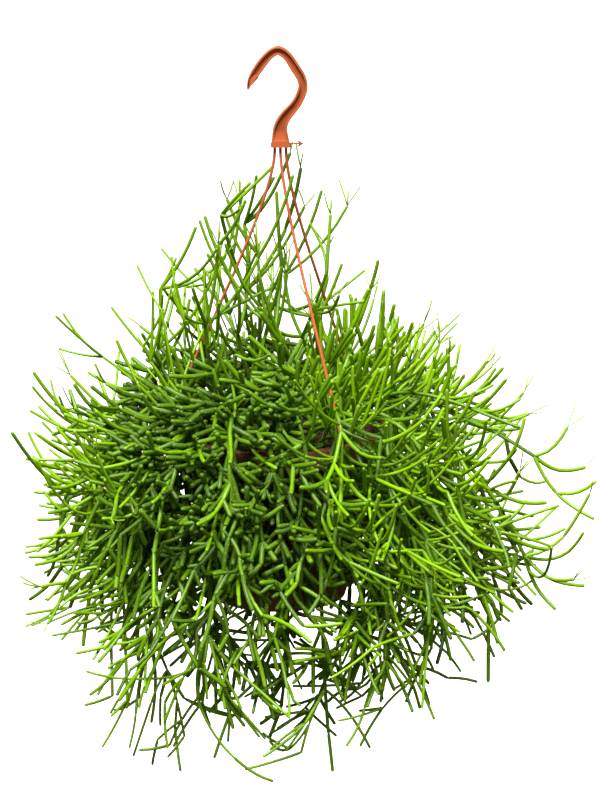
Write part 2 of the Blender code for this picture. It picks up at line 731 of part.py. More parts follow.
def build_strand(name, azimuth, offset):
    """A strand from its socket in the hook to the barb that holds it under the pot's flange."""
    line = strand_line(azimuth, offset)
    top = line[0] + UP * (HOOK_BASE_BOTTOM_Z + SOCKET_DEPTH - GAP - line[0].z)
    foot = polar(STRAND_RING_RADIUS, azimuth, RIM_TOP - FLANGE - GAP)
    barb_points = [foot, foot - UP * BARB_HEIGHT]
    points = [top] + line + [line[-1] - UP * 2 * MM] + barb_points
    radii = [STRAND_RADIUS] * len(points)
    bm = bmesh.new()
    add_tube(bm, points, radii, STRAND_SIDES)
    strand = finished(name, bm, HANGER_COLOUR, 0.4)
    barb = bmesh.new()
    add_tube(barb, barb_points, [BARB_RADIUS, STRAND_RADIUS * 0.6], STRAND_SIDES)
    combine(strand, [barb], "UNION")


def build_stem(stem):
    """A rooted cutting: its main shoot with every joint that grew on it, as one body."""
    shoot = stem.joints[0]
    bm = bmesh.new()
    add_tube(bm, shoot.points, [shoot.radius] * len(shoot.points), STEM_SIDES)
    piece = finished(stem.name, bm, STEM_COLOURS[stem.habit], 0.5)
    forks = []
    for joint in stem.joints[1:]:
        fork = bmesh.new()
        add_tube(fork, joint.points, [joint.radius] * len(joint.points), FORK_SIDES)
        forks.append(fork)
    combine(piece, forks, "UNION")


def clear_scene():
    for piece in list(bpy.data.objects):
        bpy.data.objects.remove(piece, do_unlink=True)


def main():
    clear_scene()
    room = Room(ROOM_MARGIN)
    room.fill_pot()
    for azimuth, offset in STRANDS.values():
        room.fill(strand_line(azimuth, offset), STRAND_RADIUS, HANGER)
    stems = grow_plant(room)
    build_pot()
    build_saucer()
    build_mix(stems)
    build_hook()
    for name, (azimuth, offset) in STRANDS.items():
        build_strand(name, azimuth, offset)
    for stem in stems:
        build_stem(stem)


if __name__ == "__main__":
    main()
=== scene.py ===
"""The finish of a rhipsalis in a hanging pot: the fine joints of every cutting, the moulded pot,
its saucer and hanger, the potting mix, and a plain stage with soft light. Metres, +Z up."""

import json
import math
import random
from dataclasses import dataclass, field

import bmesh
import bpy
import numpy as np
from bpy.props import FloatProperty, FloatVectorProperty, IntProperty, PointerProperty
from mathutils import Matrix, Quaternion, Vector, noise

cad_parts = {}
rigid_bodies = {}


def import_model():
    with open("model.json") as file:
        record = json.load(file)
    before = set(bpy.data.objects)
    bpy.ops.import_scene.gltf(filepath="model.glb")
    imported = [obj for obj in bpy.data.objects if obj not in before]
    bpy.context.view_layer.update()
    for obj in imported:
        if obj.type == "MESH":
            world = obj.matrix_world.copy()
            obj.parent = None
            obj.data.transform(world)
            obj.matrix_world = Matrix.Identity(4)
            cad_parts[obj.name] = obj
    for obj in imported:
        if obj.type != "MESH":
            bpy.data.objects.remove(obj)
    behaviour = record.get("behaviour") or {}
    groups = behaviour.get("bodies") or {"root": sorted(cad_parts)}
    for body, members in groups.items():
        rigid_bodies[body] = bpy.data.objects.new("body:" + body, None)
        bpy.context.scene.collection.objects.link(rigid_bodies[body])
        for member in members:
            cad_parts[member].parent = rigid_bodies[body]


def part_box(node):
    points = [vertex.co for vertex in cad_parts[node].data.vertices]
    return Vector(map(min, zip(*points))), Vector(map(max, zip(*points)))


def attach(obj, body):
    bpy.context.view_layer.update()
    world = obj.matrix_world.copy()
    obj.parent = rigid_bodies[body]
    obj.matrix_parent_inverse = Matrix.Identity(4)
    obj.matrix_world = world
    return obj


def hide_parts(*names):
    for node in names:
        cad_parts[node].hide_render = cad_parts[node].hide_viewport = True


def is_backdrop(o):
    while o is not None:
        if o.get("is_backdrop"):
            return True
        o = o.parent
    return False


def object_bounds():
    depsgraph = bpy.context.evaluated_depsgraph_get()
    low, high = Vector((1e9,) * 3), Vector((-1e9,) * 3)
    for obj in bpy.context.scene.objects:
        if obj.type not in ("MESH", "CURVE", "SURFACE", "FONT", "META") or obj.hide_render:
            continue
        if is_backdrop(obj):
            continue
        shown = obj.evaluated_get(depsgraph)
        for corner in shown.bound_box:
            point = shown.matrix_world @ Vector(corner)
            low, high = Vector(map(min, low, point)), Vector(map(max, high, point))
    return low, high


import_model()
CAD_BOX = [list(corner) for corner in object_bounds()]

bl_info = {
    "name": "Potted rhipsalis",
    "version": (1, 0, 0),
    "blender": (4, 5, 0),
    "location": "View3D > Sidebar > Rhipsalis",
    "description": "Dresses a rhipsalis in its hanging pot, from the mix up to the finest joints",
    "category": "Object",
}

MM = 0.001
UP = Vector((0, 0, 1))
BODY = "root"

# Pot and saucer, as the frame has them
RIM_TOP = -323.5 * MM
RIM_RADIUS = 100 * MM
COLLAR_HEIGHT = 17 * MM
WALL = 1.7 * MM
WALL_TOP_RADIUS = 92.5 * MM
WALL_FOOT_RADIUS = 68.5 * MM
STEP_Z = RIM_TOP - 132.5 * MM
FOOT_RADIUS = 60.5 * MM
FOOT_Z = STEP_Z - 8 * MM
FLOOR = 2.2 * MM
FLANGE = 2 * MM
DRAFT = 0.8 * MM
GAP = 0.3 * MM
DRAIN_RADIUS = 4 * MM
DRAIN_RING_RADIUS = 40 * MM
DRAIN_COUNT = 6
SAUCER_RIM_RADIUS = 64.5 * MM
SAUCER_FOOT_RADIUS = 59 * MM
SAUCER_BASE_Z = STEP_Z - 20.5 * MM
SAUCER_WALL = 1.6 * MM
SAUCER_RIM_GAP = 1.2 * MM
STUD_RADIUS = 3.6 * MM
STUD_SHOULDER_RADIUS = 8 * MM
STUD_HEAD_RADIUS = 5.6 * MM
STUD_HEAD_HEIGHT = 3 * MM
STUD_CENTRE = 0.1 * MM
POT_EDGE = 1.2 * MM
SAUCER_EDGE = 0.8 * MM
POT_SIDES = 96
POST_SIDES = 20
CORNER_SHARE = 0.45
CORNER_STEPS = 3
MERGE_DISTANCE = 0.001 * MM
SHARP_ANGLE = 35
SOIL_DROP = 13 * MM
SOIL_TOP_Z = RIM_TOP - SOIL_DROP
SOIL_MOUND = 5 * MM
SOIL_RINGS = 26
SOIL_SIDES = 72
SOIL_LUMPS = ((110, 2.2 * MM), (420, 1.2 * MM))
SOIL_WALL_GAP = 1.5 * GAP
SOIL_STEP_GAP = 2 * GAP
SOIL_FOOT_GAP = 4 * GAP
SOIL_EDGE_DEPTH = 1 * MM
SOIL_SHARP_ANGLE = 60
CRUMB_INSET = 3 * MM
CRUMB_LIFT_MM = 2
CRUMB_RADIUS_MM = (0.8, 2.6)
CRUMB_SQUASH = (0.4, 0.9)
CRUMB_STRETCH = (0.8, 1.3)
CRUMB_ROUGHNESS = (0.8, 1.15)
STEM_DEPTH = 8 * MM

# Hook: the middle line of its section, as x, z and half the width there, in millimetres
HOOK_SPINE = (
    (-25.2, -29.3, 0.8),
    (-22.7, -21.6, 2.8),
    (-16.6, -12.0, 4.0),
    (-7.9, -0.9, 3.8),
    (0.0, 3.7, 3.7),
    (7.8, -0.5, 3.7),
    (15.4, -11.6, 4.0),
    (20.7, -20.9, 3.9),
    (21.3, -29.9, 4.0),
    (16.1, -41.3, 4.2),
    (6.4, -53.2, 4.9),
    (2.3, -63.2, 6.0),
    (2.4, -75.0, 7.6),
)
HOOK_THICKNESS = 8 * MM
HOOK_EDGE = 1.7 * MM
HOOK_ROUNDING = 0.55 * MM
HOOK_ROUNDING_SHARE = 0.35
HOOK_STEPS = 6
HOOK_RECESS = 2.4 * MM
HOOK_RECESS_LEAST = 0.12
HOOK_RECESS_FADES = (2, 5)
HOOK_BASE_X = 2.4 * MM
HOOK_BASE_TOP_Z = -73.4 * MM
HOOK_BASE_BOTTOM_Z = -79 * MM
HOOK_BASE_WIDTH = 16.6 * MM
HOOK_BASE_DEPTH = 9 * MM
HOOK_BAR_FOOT = 3 * MM
HOOK_BAR_TAPER = 2 * MM
HOOK_BAR_EDGE = 1.2 * MM
HOOK_POINT = ((-24.6, -28.6), (-15.8, -18.6), (-20.0, -16.6), (-23.6, -20.6))
HOOK_POINT_DEPTH = 6.4 * MM
HOOK_POINT_EDGE = 0.5 * MM
LABEL_BARB = (
    (-1, -0.6), (7.6, -0.6), (6.2, -2.6), (7.4, -2.6), (11.4, 0),
    (7.4, 2.6), (6.2, 2.6), (7.6, 0.6), (-1, 0.6),
)
LABEL_BARB_HALF = 0.5 * MM

# The rounded corners of the hook's edges, in shares of the rounding: outer, inner and at the web
HOOK_CORNERS = (
    ((0, -1.6), (-0.4, -0.4), (-1.6, 0)),
    ((1, 0), (0.2, -0.3), (0, -1)),
    ((0, 0.3), (-0.5, 0)),
)

# Strands: the azimuth at which each meets the rim, and its offset on the hook's base bar
STRANDS = {
    "strand_left": (178, -4.8 * MM),
    "strand_front": (-55, 0.0),
    "strand_back": (41, 4.8 * MM),
}
STRAND_RADIUS = 1.3 * MM
STRAND_RING_RADIUS = 95.6 * MM
STRAND_SAG = 45 * MM
STRAND_TUCK = 2 * MM
STRAND_STOP = 3 * MM
STRAND_BEND = 0.3
STRAND_SPANS = 12
SOCKET_DEPTH = 4.5 * MM
STRAND_STEPS = 48
STRAND_SIDES = 14
STRAND_SHARP_ANGLE = 50

# The stop of a strand above the rim and its barb below: heights in millimetres, and radii
STOP_SECTIONS = (
    (2.4, STRAND_RADIUS * 1.1), (1.6, 2.3 * MM), (0, 2.4 * MM), (-0.1, STRAND_RADIUS),
)
BARB_SECTIONS = (
    (0, STRAND_RADIUS), (-0.2, 2 * MM), (-0.9, 2 * MM), (-3, STRAND_RADIUS * 0.6),
)

# The bush, which bounds the stems
PLANT_SEED = 22
BUSH_CENTRE = Vector((0, 0, RIM_TOP - 79 * MM))
BUSH_RIGHT = 258 * MM
BUSH_LEFT = 215 * MM
BUSH_DEPTH = 222 * MM
BUSH_UP = 165 * MM
BUSH_DOWN = 235 * MM
BUSH_LIMIT = 1.0
REACHING_LIMIT = 1.12
UPRIGHT_PEAK_Z = RIM_TOP + 255 * MM
UPRIGHT_PEAK_RADIUS = 25 * MM
UPRIGHT_SLOPE = 0.62
OUTWARD = 0.35
GOLDEN_ANGLE = 137.508

# The grid of cells over the space round the pot, which keeps the stems clear of each other
CELL = 2 * MM
ROOM_HALF_WIDTH = 330 * MM
ROOM_LOW_Z = -670 * MM
ROOM_HIGH_Z = 0.0
ROOM_MARGIN = 4.6 * MM
TWIG_MARGIN = 0.8 * MM
BOX_ALLOWANCE = (7 * MM, 13 * MM, 6 * MM)
PROBE_STEP = 1.5 * MM
OWN_LENGTH = 12 * MM
TIP_INSET = 1.5 * MM
FREE = 0
SOIL = -1
POT = -2
HANGER = -3
FRAME_TOLERANCE = 3 * MM


@dataclass
class Habit:
    """How the first joints of one kind of shoot grow. Lengths are in metres, turns in degrees."""
    main_radius: float
    spans: int
    tip_joints: int
    side_joints: int
    length: tuple
    turn: tuple
    radius: float
    lift: float = 0.0


HABITS = {
    "upright": Habit(2.0 * MM, 5, 3, 3, (45 * MM, 88 * MM), (15, 50), 1.6 * MM),
    "reaching": Habit(2.2 * MM, 6, 3, 3, (50 * MM, 80 * MM), (15, 42), 1.7 * MM, 0.25),
    "crown": Habit(2.4 * MM, 4, 3, 3, (30 * MM, 52 * MM), (25, 62), 2.1 * MM),
    "spreading": Habit(2.2 * MM, 5, 3, 3, (50 * MM, 82 * MM), (18, 48), 1.8 * MM),
    "trailing": Habit(2.3 * MM, 6, 3, 3, (50 * MM, 85 * MM), (15, 48), 1.8 * MM, -0.25),
    "draping": Habit(2.5 * MM, 7, 3, 3, (30 * MM, 54 * MM), (20, 55), 2.1 * MM),
}
FIRST_THICKNESS = (0.85, 1.1)
FIRST_RANK_SPANS = 2
SECOND_RANK_SPANS = 1
UPRIGHT_LIFT = (-0.2, 0.6)
TOP_LIFT = (20 * MM, 0.35)
MIDDLE_LIFT = (-60 * MM, 0.15)
BOTTOM_LIFT = -0.15
LIFT_SPREAD = (0.3, 1.3)
BEND_OUT = 0.12
BEND_LOOSE = 0.12

# The routes of main shoots, from the mix over the rim to the tip
WOBBLE_MM = (9, 9, 6)
KNEE_MM = 40
KNEE_SHARE = 0.7
OVER_RIM_OUT = 1.1
OVER_RIM_MM = (55, 85)
OUTSIDE_SHARE = 0.72
OUTSIDE_HANG = 0.5
OUTSIDE_LEAST = RIM_TOP + 5 * MM
AZIMUTH_SHIFT = 14
RISE_SHIFT = 0.05
REACH_SHIFT = (0.9, 1.08)
DRAPING_ROOT = 82 * MM
ROOT_MOST = 84 * MM
ROOT_LEAST = 12 * MM
ROOT_SHARE = 0.45
ROOT_SHIFT = (0.8, 1)
DOME_Z = RIM_TOP + 30 * MM
DOME_SHOULDER_MM = (0, 20)
SHOULDER_SHARE = 0.8
SHOULDER_LEAST = 128 * MM
SHOULDER_SHIFT = (1, 1.25)
SHOULDER_MM = (10, 65)
ARCH_MM = (30, 80)
ARCH_SHARE = 0.2
CROWN_RISE = 0.6
SPREADING_RISE = -0.15


@dataclass
class Spray:
    """How fine joints grow on one kind of shoot, until it carries the length `most` of them.
    Lengths are in metres, turns in degrees, and whiskers is the share of tips that have some."""
    piece: float
    length: tuple
    radius: float
    turn: tuple
    whorl: tuple
    most: float
    whiskers: float
    age: float
    loose: float = 0.24


SPRAYS = {
    "upright": Spray(60 * MM, (36 * MM, 74 * MM), 1.5 * MM, (35, 85), (1, 3), 0.24, 0.35, 0.62,
                     loose=0.4),
    "reaching": Spray(52 * MM, (36 * MM, 76 * MM), 1.6 * MM, (12, 40), (1, 2), 0.6, 0.3, 0.3),
    "crown": Spray(24 * MM, (18 * MM, 46 * MM), 1.85 * MM, (24, 70), (2, 3), 1.9, 0.0, 0.6),
    "spreading": Spray(36 * MM, (30 * MM, 74 * MM), 1.7 * MM, (16, 52), (1, 3), 2.0, 0.0, 0.4),
    "trailing": Spray(34 * MM, (26 * MM, 64 * MM), 1.38 * MM, (26, 76), (2, 3), 3.8, 0.0, 0.5),
    "draping": Spray(28 * MM, (26 * MM, 56 * MM), 1.55 * MM, (20, 60), (2, 3), 2.4, 0.0, 0.7),
}
ROUNDS = 9
FILL_TRIES = 60
FILL_SPAN = (0.2, 0.95)
SIDE_TURN = (32, 70)
SIDE_COUNT = (1, 3)
TWIG_TRIES = 9
TWIG_SPANS = 4
YOUNG_SPANS = 2
TWIG_THICKNESS = (0.84, 1.14)
PARENT_THICKNESS = 1.15
ABOVE_MIX = 14 * MM

# First joints: their age, how far fine ones slim them, and the bow of the rising and hanging ones
FIRST_STEPS = 4
TIP_DEPTH = 0.5
FIRST_AGE = 0.5
MAIN_AGE = 0.3
SLIM = (0.95, 1.2)
MAIN_FULLNESS = 0.35
RIPE_FULLNESS = 0.65
PINCH_SHIFT = 0.12
RISING_BOW = 0.1
HANGING_BOW = -0.07
BOW_DROP = 110 * MM

# Ripe joints are at the heart of the bush, further out on the dome, and in front of the pot
RIPE_PIECE = 18 * MM
RIPE_LENGTH = (12 * MM, 25 * MM)
RIPE_RADIUS = 2.4 * MM
RIPE_TURN = (28, 75)
HEART_REACH = 0.76
HEART_FADE = 0.2
DOME_REACH = 0.3
DOME_DROP = 50 * MM
DOME_FADE = 60 * MM
DOME_RIGHT = 30 * MM
SHADE_RIGHT = 5 * MM
SHADE_FADE = 75 * MM
SHADE_LEAST = 0.05
FRONT_WAY = Vector((-0.3, -0.9, 0.2)).normalized()
FRONT_EDGE = 0.74
FRONT_FADE = 0.14
# Deep in the bush joints get an older, darker colour: partly their real age, partly painted shade
INNER_AGE_AND_SHADE_REACH = 0.66
INNER_AGE_AND_SHADE_FADE = 0.26
OLDEST = 0.95
YOUNGEST = 0.08
AGE_SHIFT = 0.12
RANK_YOUTH = 0.03

# How far out the joints reach, as shares of the bush: more or less by direction
RAGGED_LIMIT = 0.9
RAGGED_SWING = 0.11
RAGGED_SCALE = 2.6
UPPER_FADE = 0.25
FRONT_LESS = 0.16
TOP_MORE = 0.07
UNDER_MORE = 0.02
UPPER_LEFT_MORE = 0.2
UNDER_LEFT_MORE = 0.1
RIGHT_LESS = 0.11
UPPER_RIGHT_LESS = 0.1
UNDER_RIGHT_LESS = 0.2
BOLD = 0.34
BOLD_TOP = 0.25
TIMID = 0.1

# How strongly fine joints head out of the bush and up, and how they curve
OUTWARD_LEAST = 0.2
OUTWARD_EDGE = 0.55
OUTWARD_LEFT = 1.1
HANGING_FLATTEN = 0.4
RIPE_FLATTEN = 0.65
RIGHT_LIFT = 0.6
RIGHT_LIFT_DROP = 60 * MM
REACHING_LIFT = 0.8
HIGH_RISE = 0.1
HIGH_CURVE = 1.0
RIGHT_CURVE = 0.5
LEFT_CURVE = 0.15
LOW_RISE = -0.4
LOW_CURVE = (-0.6, 0.5)
REACHING_CURVE = 1.2
CROWN_CURVE = 0.5
CROWN_EDGE = 0.8
CURVE_SPREAD = (0.1, 1.3)
RIPE_STIFFNESS = 0.6

# Chains of old joints that hang down along the pot
CURTAIN_CHAINS = {"spreading": 8, "trailing": 9, "draping": 7}
CURTAIN_JOINTS = 5
CURTAIN_SPARE = 4
CURTAIN_SPAN = (0.25, 0.8)
CURTAIN_RING = RIM_RADIUS + 5 * MM
CURTAIN_LOW_Z = RIM_TOP - 60 * MM
CURTAIN_LENGTH_MM = (20, 40)
CURTAIN_RADIUS = 1.9 * MM
CURTAIN_THICKNESS = (0.85, 1.15)
CURTAIN_AGE = (0.75, 1.0)
CURTAIN_OUT = 2
CURTAIN_LOOSE = 0.4
CURTAIN_CURVE = 0.3
CURTAIN_SPANS = 4

# The gaps that let the saucer show between the joints in front of it
SAUCER_VIEW_HALF = 66 * MM
SAUCER_VIEW_NEAR = 70 * MM
SAUCER_VIEW_TOP = -448 * MM
SAUCER_VIEW_LOW = -488 * MM
SAUCER_VIEW_SLOPE = 0.25
SAUCER_VIEW_SCALE = 40
SAUCER_VIEW_SHARE = -0.08

# Young forked shoots on the left of the dome
RISER_SHARE = 0.085
RISER_RIGHT = -45 * MM
RISER_LOW_Z = RIM_TOP + 22 * MM
RISER_HEART = 0.7
RISER_RING = 170 * MM
RISER_TOP = RIM_TOP + 130 * MM
RISER_TRIES = 3
RISER_LENGTH = (36 * MM, 66 * MM)
RISER_RADIUS = 1.35 * MM
RISER_THICKNESS = (0.9, 1.2)
RISER_LEAN = Vector((-0.25, 0, 0))
RISER_LOOSE = 0.22
RISER_CURVE = 0.3
RISER_SWAY = 2
RISER_SPANS = 6
RISER_AGE = 0.5
FORK_COUNT = (1, 3)
FORK_TURN = (24, 62)
FORK_SHARE = (0.4, 0.75)
FORK_THICKNESS = 0.9
FORK_LIFT = 0.15
FORK_CURVE = (0.2, 1.0)
FORK_AGE = 0.4
FORK_SPANS = 5

# Whiskers of new growth, and dry buds on old tips
WHISKER_COUNT = (2, 3)
WHISKER_TURN = (8, 50)
WHISKER_LIFT = 0.2
WHISKER_LENGTH = (9 * MM, 24 * MM)
WHISKER_RADIUS = 0.7 * MM
WHISKER_THICKNESS = (0.75, 1.3)
WHISKER_CURVE = (-0.1, 0.7)
WHISKER_SPANS = 4
WHISKER_INSET = 0.4
WHISKER_RIPE = 0.3
SIDE_CURVE = 0.2
BUD_SHARE = 0.035
BUD_FROM = 0.7
BUD_TURN = (0, 40)
BUD_LENGTH = 3.2 * MM
BUD_RADIUS = 1.1 * MM
BUD_THICKNESS = (0.8, 1.2)
BUD_AGE = 2.0

# The form of a joint, in shares of its radius, and its rings of corners
BASE_SPAN = 2.2
BASE_SHARE = 0.62
TAPER = 0.1
PINCH_DEPTH = 0.3
PINCH_SPAN = 0.9
BASE_RINGS = (0.0, 0.9, 2.2)
TIP_RINGS = (1.2, 0.55, 0.18)
WHISKER_TIP_RINGS = (1.0, 0.3)
PINCH_RINGS = 1.5
RING_STEP = 9 * MM
THICK = (1.4 * MM, 1.9 * MM)
THIN_SIDES = 7
WHISKER_SIDES = 5
STRIP_MARGIN = 1.2 * MM
STRIP_SPARE = 1.06
STRIP_GROWTH = 1.02

# Finishes: the lumps a metre of each noise, the depth of each relief, and what ages the skin
SKIN_BROAD = 38.0
SKIN_MOTTLE = 230.0
SKIN_FINE = 900.0
SKIN_SCARS = 95.0
SKIN_RELIEF = 0.25 * MM
SKIN_GLOSS = 0.34
PATCH_AGE = 0.35
TINT_AGE = 0.22
TIP_YOUTH = 0.1
AGE_STOPS = (((0.05, 0), (0.3, 1)), ((0.3, 0), (0.62, 1)), ((0.6, 0), (0.95, 1)))
AREOLE_SPREAD = (3.0, 0.16, 1.0)
AREOLE_SHARE = 0.55
SCAR_SHARE = 0.7
PLASTIC_BROAD = 22.0
PLASTIC_FINE = 1400.0
PLASTIC_SCUFFS = 160.0
PLASTIC_SPLASHES = 150.0
PLASTIC_RELIEF = 0.2 * MM
PLASTIC_GLOSS = 0.3
SOIL_CLUMPS = 130.0
SOIL_FINE = 700.0
SOIL_RELIEF = 1.5 * MM
SOIL_GLOSS = 0.2

# How dusty the plastic is, how far painted light brightens the saucer, and the hook web's painted
# shade
POT_DUST = 0.55
# The saucer's heavier pale splashes are partly dust and partly painted light; its brightening is
# painted light
SAUCER_DUST_AND_PAINTED_LIGHT = 0.9
SAUCER_PAINTED_LIGHT = 1.8
HANGER_DUST = 0.12
HOOK_WEB_SHADE = 0.26

# Stage
FLOOR_RADIUS = 30
FLOOR_SIDES = 96
FLOOR_ROUGHNESS = 0.9
SOFT_STRENGTH = 0.15
KEY_HEADING = Vector((0.12, 0.42, -0.9))
KEY_SPREAD = 27
LAMP_SIZE = 1.5
FILL_PLACE = Vector((1.6, -1.3, 0.1))
BACK_PLACE = Vector((-0.9, 2.2, 0.7))

# Shoots that stand out of the bush: the azimuth and radius of the root, the tip's place from the
# middle of the pot's rim, and how far the middle leans aside (upright) or hangs (reaching), in mm
UPRIGHT_SHOOTS = (
    (120, 30, (-35, 0, 81), -8),
    (170, 45, (-62, -25, 96), -14),
    (60, 25, (-10, 10, 91), 0),
    (80, 50, (-28, 40, 111), -12),
    (20, 40, (20, 15, 76), 4),
    (200, 60, (-105, 10, 66), -10),
    (330, 45, (50, 30, 59), 8),
)
REACHING_SHOOTS = (
    (8, 66, (222, -35, -20), 12),
    (-28, 64, (205, -90, 20), 12),
    (-12, 54, (212, -75, -98), 24),
    (28, 62, (185, 105, -10), 12),
    (192, 66, (-176, -25, -38), 0),
    (214, 62, (-165, -95, -72), 6),
    (163, 60, (-165, 70, -55), 4),
)

# Old shoots drape over the rim at the front, close to the pot's wall. Every other one hangs on
# below the pot. Each row has the azimuth, the rise (a sine) and the share of the way out
DRAPING_SHOOTS = (
    (-152, -0.28, 0.53),
    (-128, -0.62, 0.54),
    (-116, -0.28, 0.53),
    (-100, -0.62, 0.54),
    (-86, -0.28, 0.53),
    (-70, -0.62, 0.54),
    (-54, -0.28, 0.53),
    (-36, -0.62, 0.52),
    (-20, -0.28, 0.56),
)

# The other shoots go round by the golden angle, from the lowest rise to the highest
SHOOT_COUNT = 32
LOWEST = -0.92
HIGHEST = 0.95
SHOOT_SHARE = 0.74
SECOND_RANK_FORKS = 4
SHOOT_TRIES = 200
JOINT_TRIES = 40


@dataclass
class Joint:
    """One joint of a stem: its centreline from base to tip, its radius, its rank and its age."""
    points: list
    radius: float
    rank: int
    age: float = 0.5
    tint: float = 0.5
    pinches: list = field(default_factory=list)
    branched: bool = False

    @property
    def heading(self):
        return (self.points[-1] - self.points[-2]).normalized()

    @property
    def length(self):
        return sum((b - a).length for a, b in zip(self.points, self.points[1:]))

    def tip(self, inset=TIP_DEPTH):
        """The place in the tip, a share of the radius deep, from which the next joints grow."""
        return self.points[-1] - self.heading * self.radius * inset


@dataclass
class Stem:
    """One rooted cutting: a main shoot and all the joints that grew on it."""
    name: str
    habit: str
    number: int
    joints: list = field(default_factory=list)
    grown: float = 0.0

    @property
    def tips(self):
        return [joint for joint in self.joints if not joint.branched]


def within(value, low=0):
    """A value held between low and 1."""
    return min(1, max(low, value))


def blend(young, old, ripe):
    """A value between a young joint's and an old one's."""
    return young + (old - young) * ripe


def shaken(rng, spread):
    """A small random vector."""
    return Vector([rng.gauss(0, spread) for _ in range(3)])


class Room:
    """A grid over the space round the pot. Each cell holds FREE, or who is in it."""

    def __init__(self, margin):
        self.margin = margin
        self.low = np.array([-ROOM_HALF_WIDTH, -ROOM_HALF_WIDTH, ROOM_LOW_Z])
        size = np.array([2 * ROOM_HALF_WIDTH, 2 * ROOM_HALF_WIDTH, ROOM_HIGH_Z - ROOM_LOW_Z])
        self.cells = np.zeros(np.ceil(size / CELL).astype(int), np.int16)
        self.fill_pot()
        for azimuth, offset in STRANDS.values():
            self.fill(strand_line(azimuth, offset), STRAND_RADIUS, HANGER)

    def centres(self, first, last):
        return [self.low[i] + (np.arange(first[i], last[i]) + 0.5) * CELL for i in range(3)]

    def fill_pot(self):
        """Marks the pot, its collar and saucer, and the mix inside it."""
        x, y, z = self.centres((0, 0, 0), self.cells.shape)
        radius = np.sqrt(x[:, None] ** 2 + y[None, :] ** 2)
        collar_foot = RIM_TOP - COLLAR_HEIGHT
        inside = WALL_TOP_RADIUS - WALL
        for k, height in enumerate(z):
            if SAUCER_BASE_Z - self.margin < height < RIM_TOP + self.margin:
                below = collar_foot - self.margin - height
                share = within(below / (collar_foot - STEP_Z))
                outer = RIM_RADIUS + share * (WALL_FOOT_RADIUS - RIM_RADIUS)
                layer = self.cells[:, :, k]
                layer[radius < outer + self.margin] = POT
                layer[radius < inside - self.margin] = FREE
                if height < SOIL_TOP_Z + SOIL_MOUND + self.margin:
                    layer[radius < inside - self.margin] = SOIL

    def fill(self, points, radius, owner):
        """Marks the cells within radius and margin of a line through points."""
        reach = radius + self.margin
        for start, end in zip(points, points[1:]):
            a, b = np.array(start), np.array(end)
            first = np.floor((np.minimum(a, b) - reach - self.low) / CELL).astype(int)
            first = np.maximum(first, 0)
            last = np.ceil((np.maximum(a, b) + reach - self.low) / CELL).astype(int)
            last = np.minimum(last, self.cells.shape)
            if (last <= first).any():
                continue
            x, y, z = self.centres(first, last)
            px = x[:, None, None] - a[0]
            py = y[None, :, None] - a[1]
            pz = z[None, None, :] - a[2]
            dx, dy, dz = b - a
            along = (px * dx + py * dy + pz * dz) / (dx * dx + dy * dy + dz * dz)
            along = np.clip(along, 0, 1)
            gap = (px - along * dx) ** 2 + (py - along * dy) ** 2 + (pz - along * dz) ** 2
            block = self.cells[first[0]:last[0], first[1]:last[1], first[2]:last[2]]
            block[(gap < reach * reach) & ((block == FREE) | (block == SOIL))] = owner

    def is_free(self, points, owner, own_length, rooted=False):
        """Whether a line touches nothing, but its own stem near its base, and the mix if rooted."""
        probes = [points[0]]
        walked = [0.0]
        for start, end in zip(points, points[1:]):
            length = (end - start).length
            steps = max(1, int(length / PROBE_STEP))
            for i in range(1, steps + 1):
                probes.append(start.lerp(end, i / steps))
                walked.append(walked[-1] + length / steps)
        index = np.floor((np.array(probes) - self.low) / CELL).astype(int)
        if (index < 0).any() or (index >= self.cells.shape).any():
            return False
        found = self.cells[index[:, 0], index[:, 1], index[:, 2]]
        allowed = (found == FREE) | ((found == owner) & (np.array(walked) < own_length))
        if rooted:
            allowed |= found == SOIL
        return bool(allowed.all())


def polar(radius, azimuth, z):
    angle = math.radians(azimuth)
    return Vector((radius * math.cos(angle), radius * math.sin(angle), z))


def bezier(control, spans):
    """Points along the cubic curve that four control points give."""
    points = []
    for i in range(spans + 1):
        t = i / spans
        s = 1 - t
        weights = (s * s * s, 3 * s * s * t, 3 * s * t * t, t * t * t)
        points.append(sum((p * w for p, w in zip(control, weights)), Vector()))
    return points


def strand_line(azimuth, offset, spans=STRAND_SPANS):
    """The part of a strand between the hook's base and the pot's rim."""
    top = Vector((HOOK_BASE_X + offset, 0, HOOK_BASE_BOTTOM_Z - STRAND_TUCK))
    foot = polar(STRAND_RING_RADIUS, azimuth, RIM_TOP + STRAND_STOP)
    return bezier([top, top - UP * STRAND_SAG, foot.lerp(top, STRAND_BEND), foot], spans)


def bushiness(point):
    """0 at the middle of the bush, 1 on the ellipsoid that bounds it."""
    p = point - BUSH_CENTRE
    wide = BUSH_RIGHT if p.x > 0 else BUSH_LEFT
    tall = BUSH_UP if p.z > 0 else BUSH_DOWN
    return math.sqrt((p.x / wide) ** 2 + (p.y / BUSH_DEPTH) ** 2 + (p.z / tall) ** 2)


def inside_bush(point, habit, limit=BUSH_LIMIT):
    """Whether a joint of this habit may end at this point."""
    if habit == "upright":
        widest = UPRIGHT_PEAK_RADIUS + (UPRIGHT_PEAK_Z - point.z) * UPRIGHT_SLOPE
        return point.z < UPRIGHT_PEAK_Z and math.hypot(point.x, point.y) < widest
    return bushiness(point) < (REACHING_LIMIT if habit == "reaching" else limit)


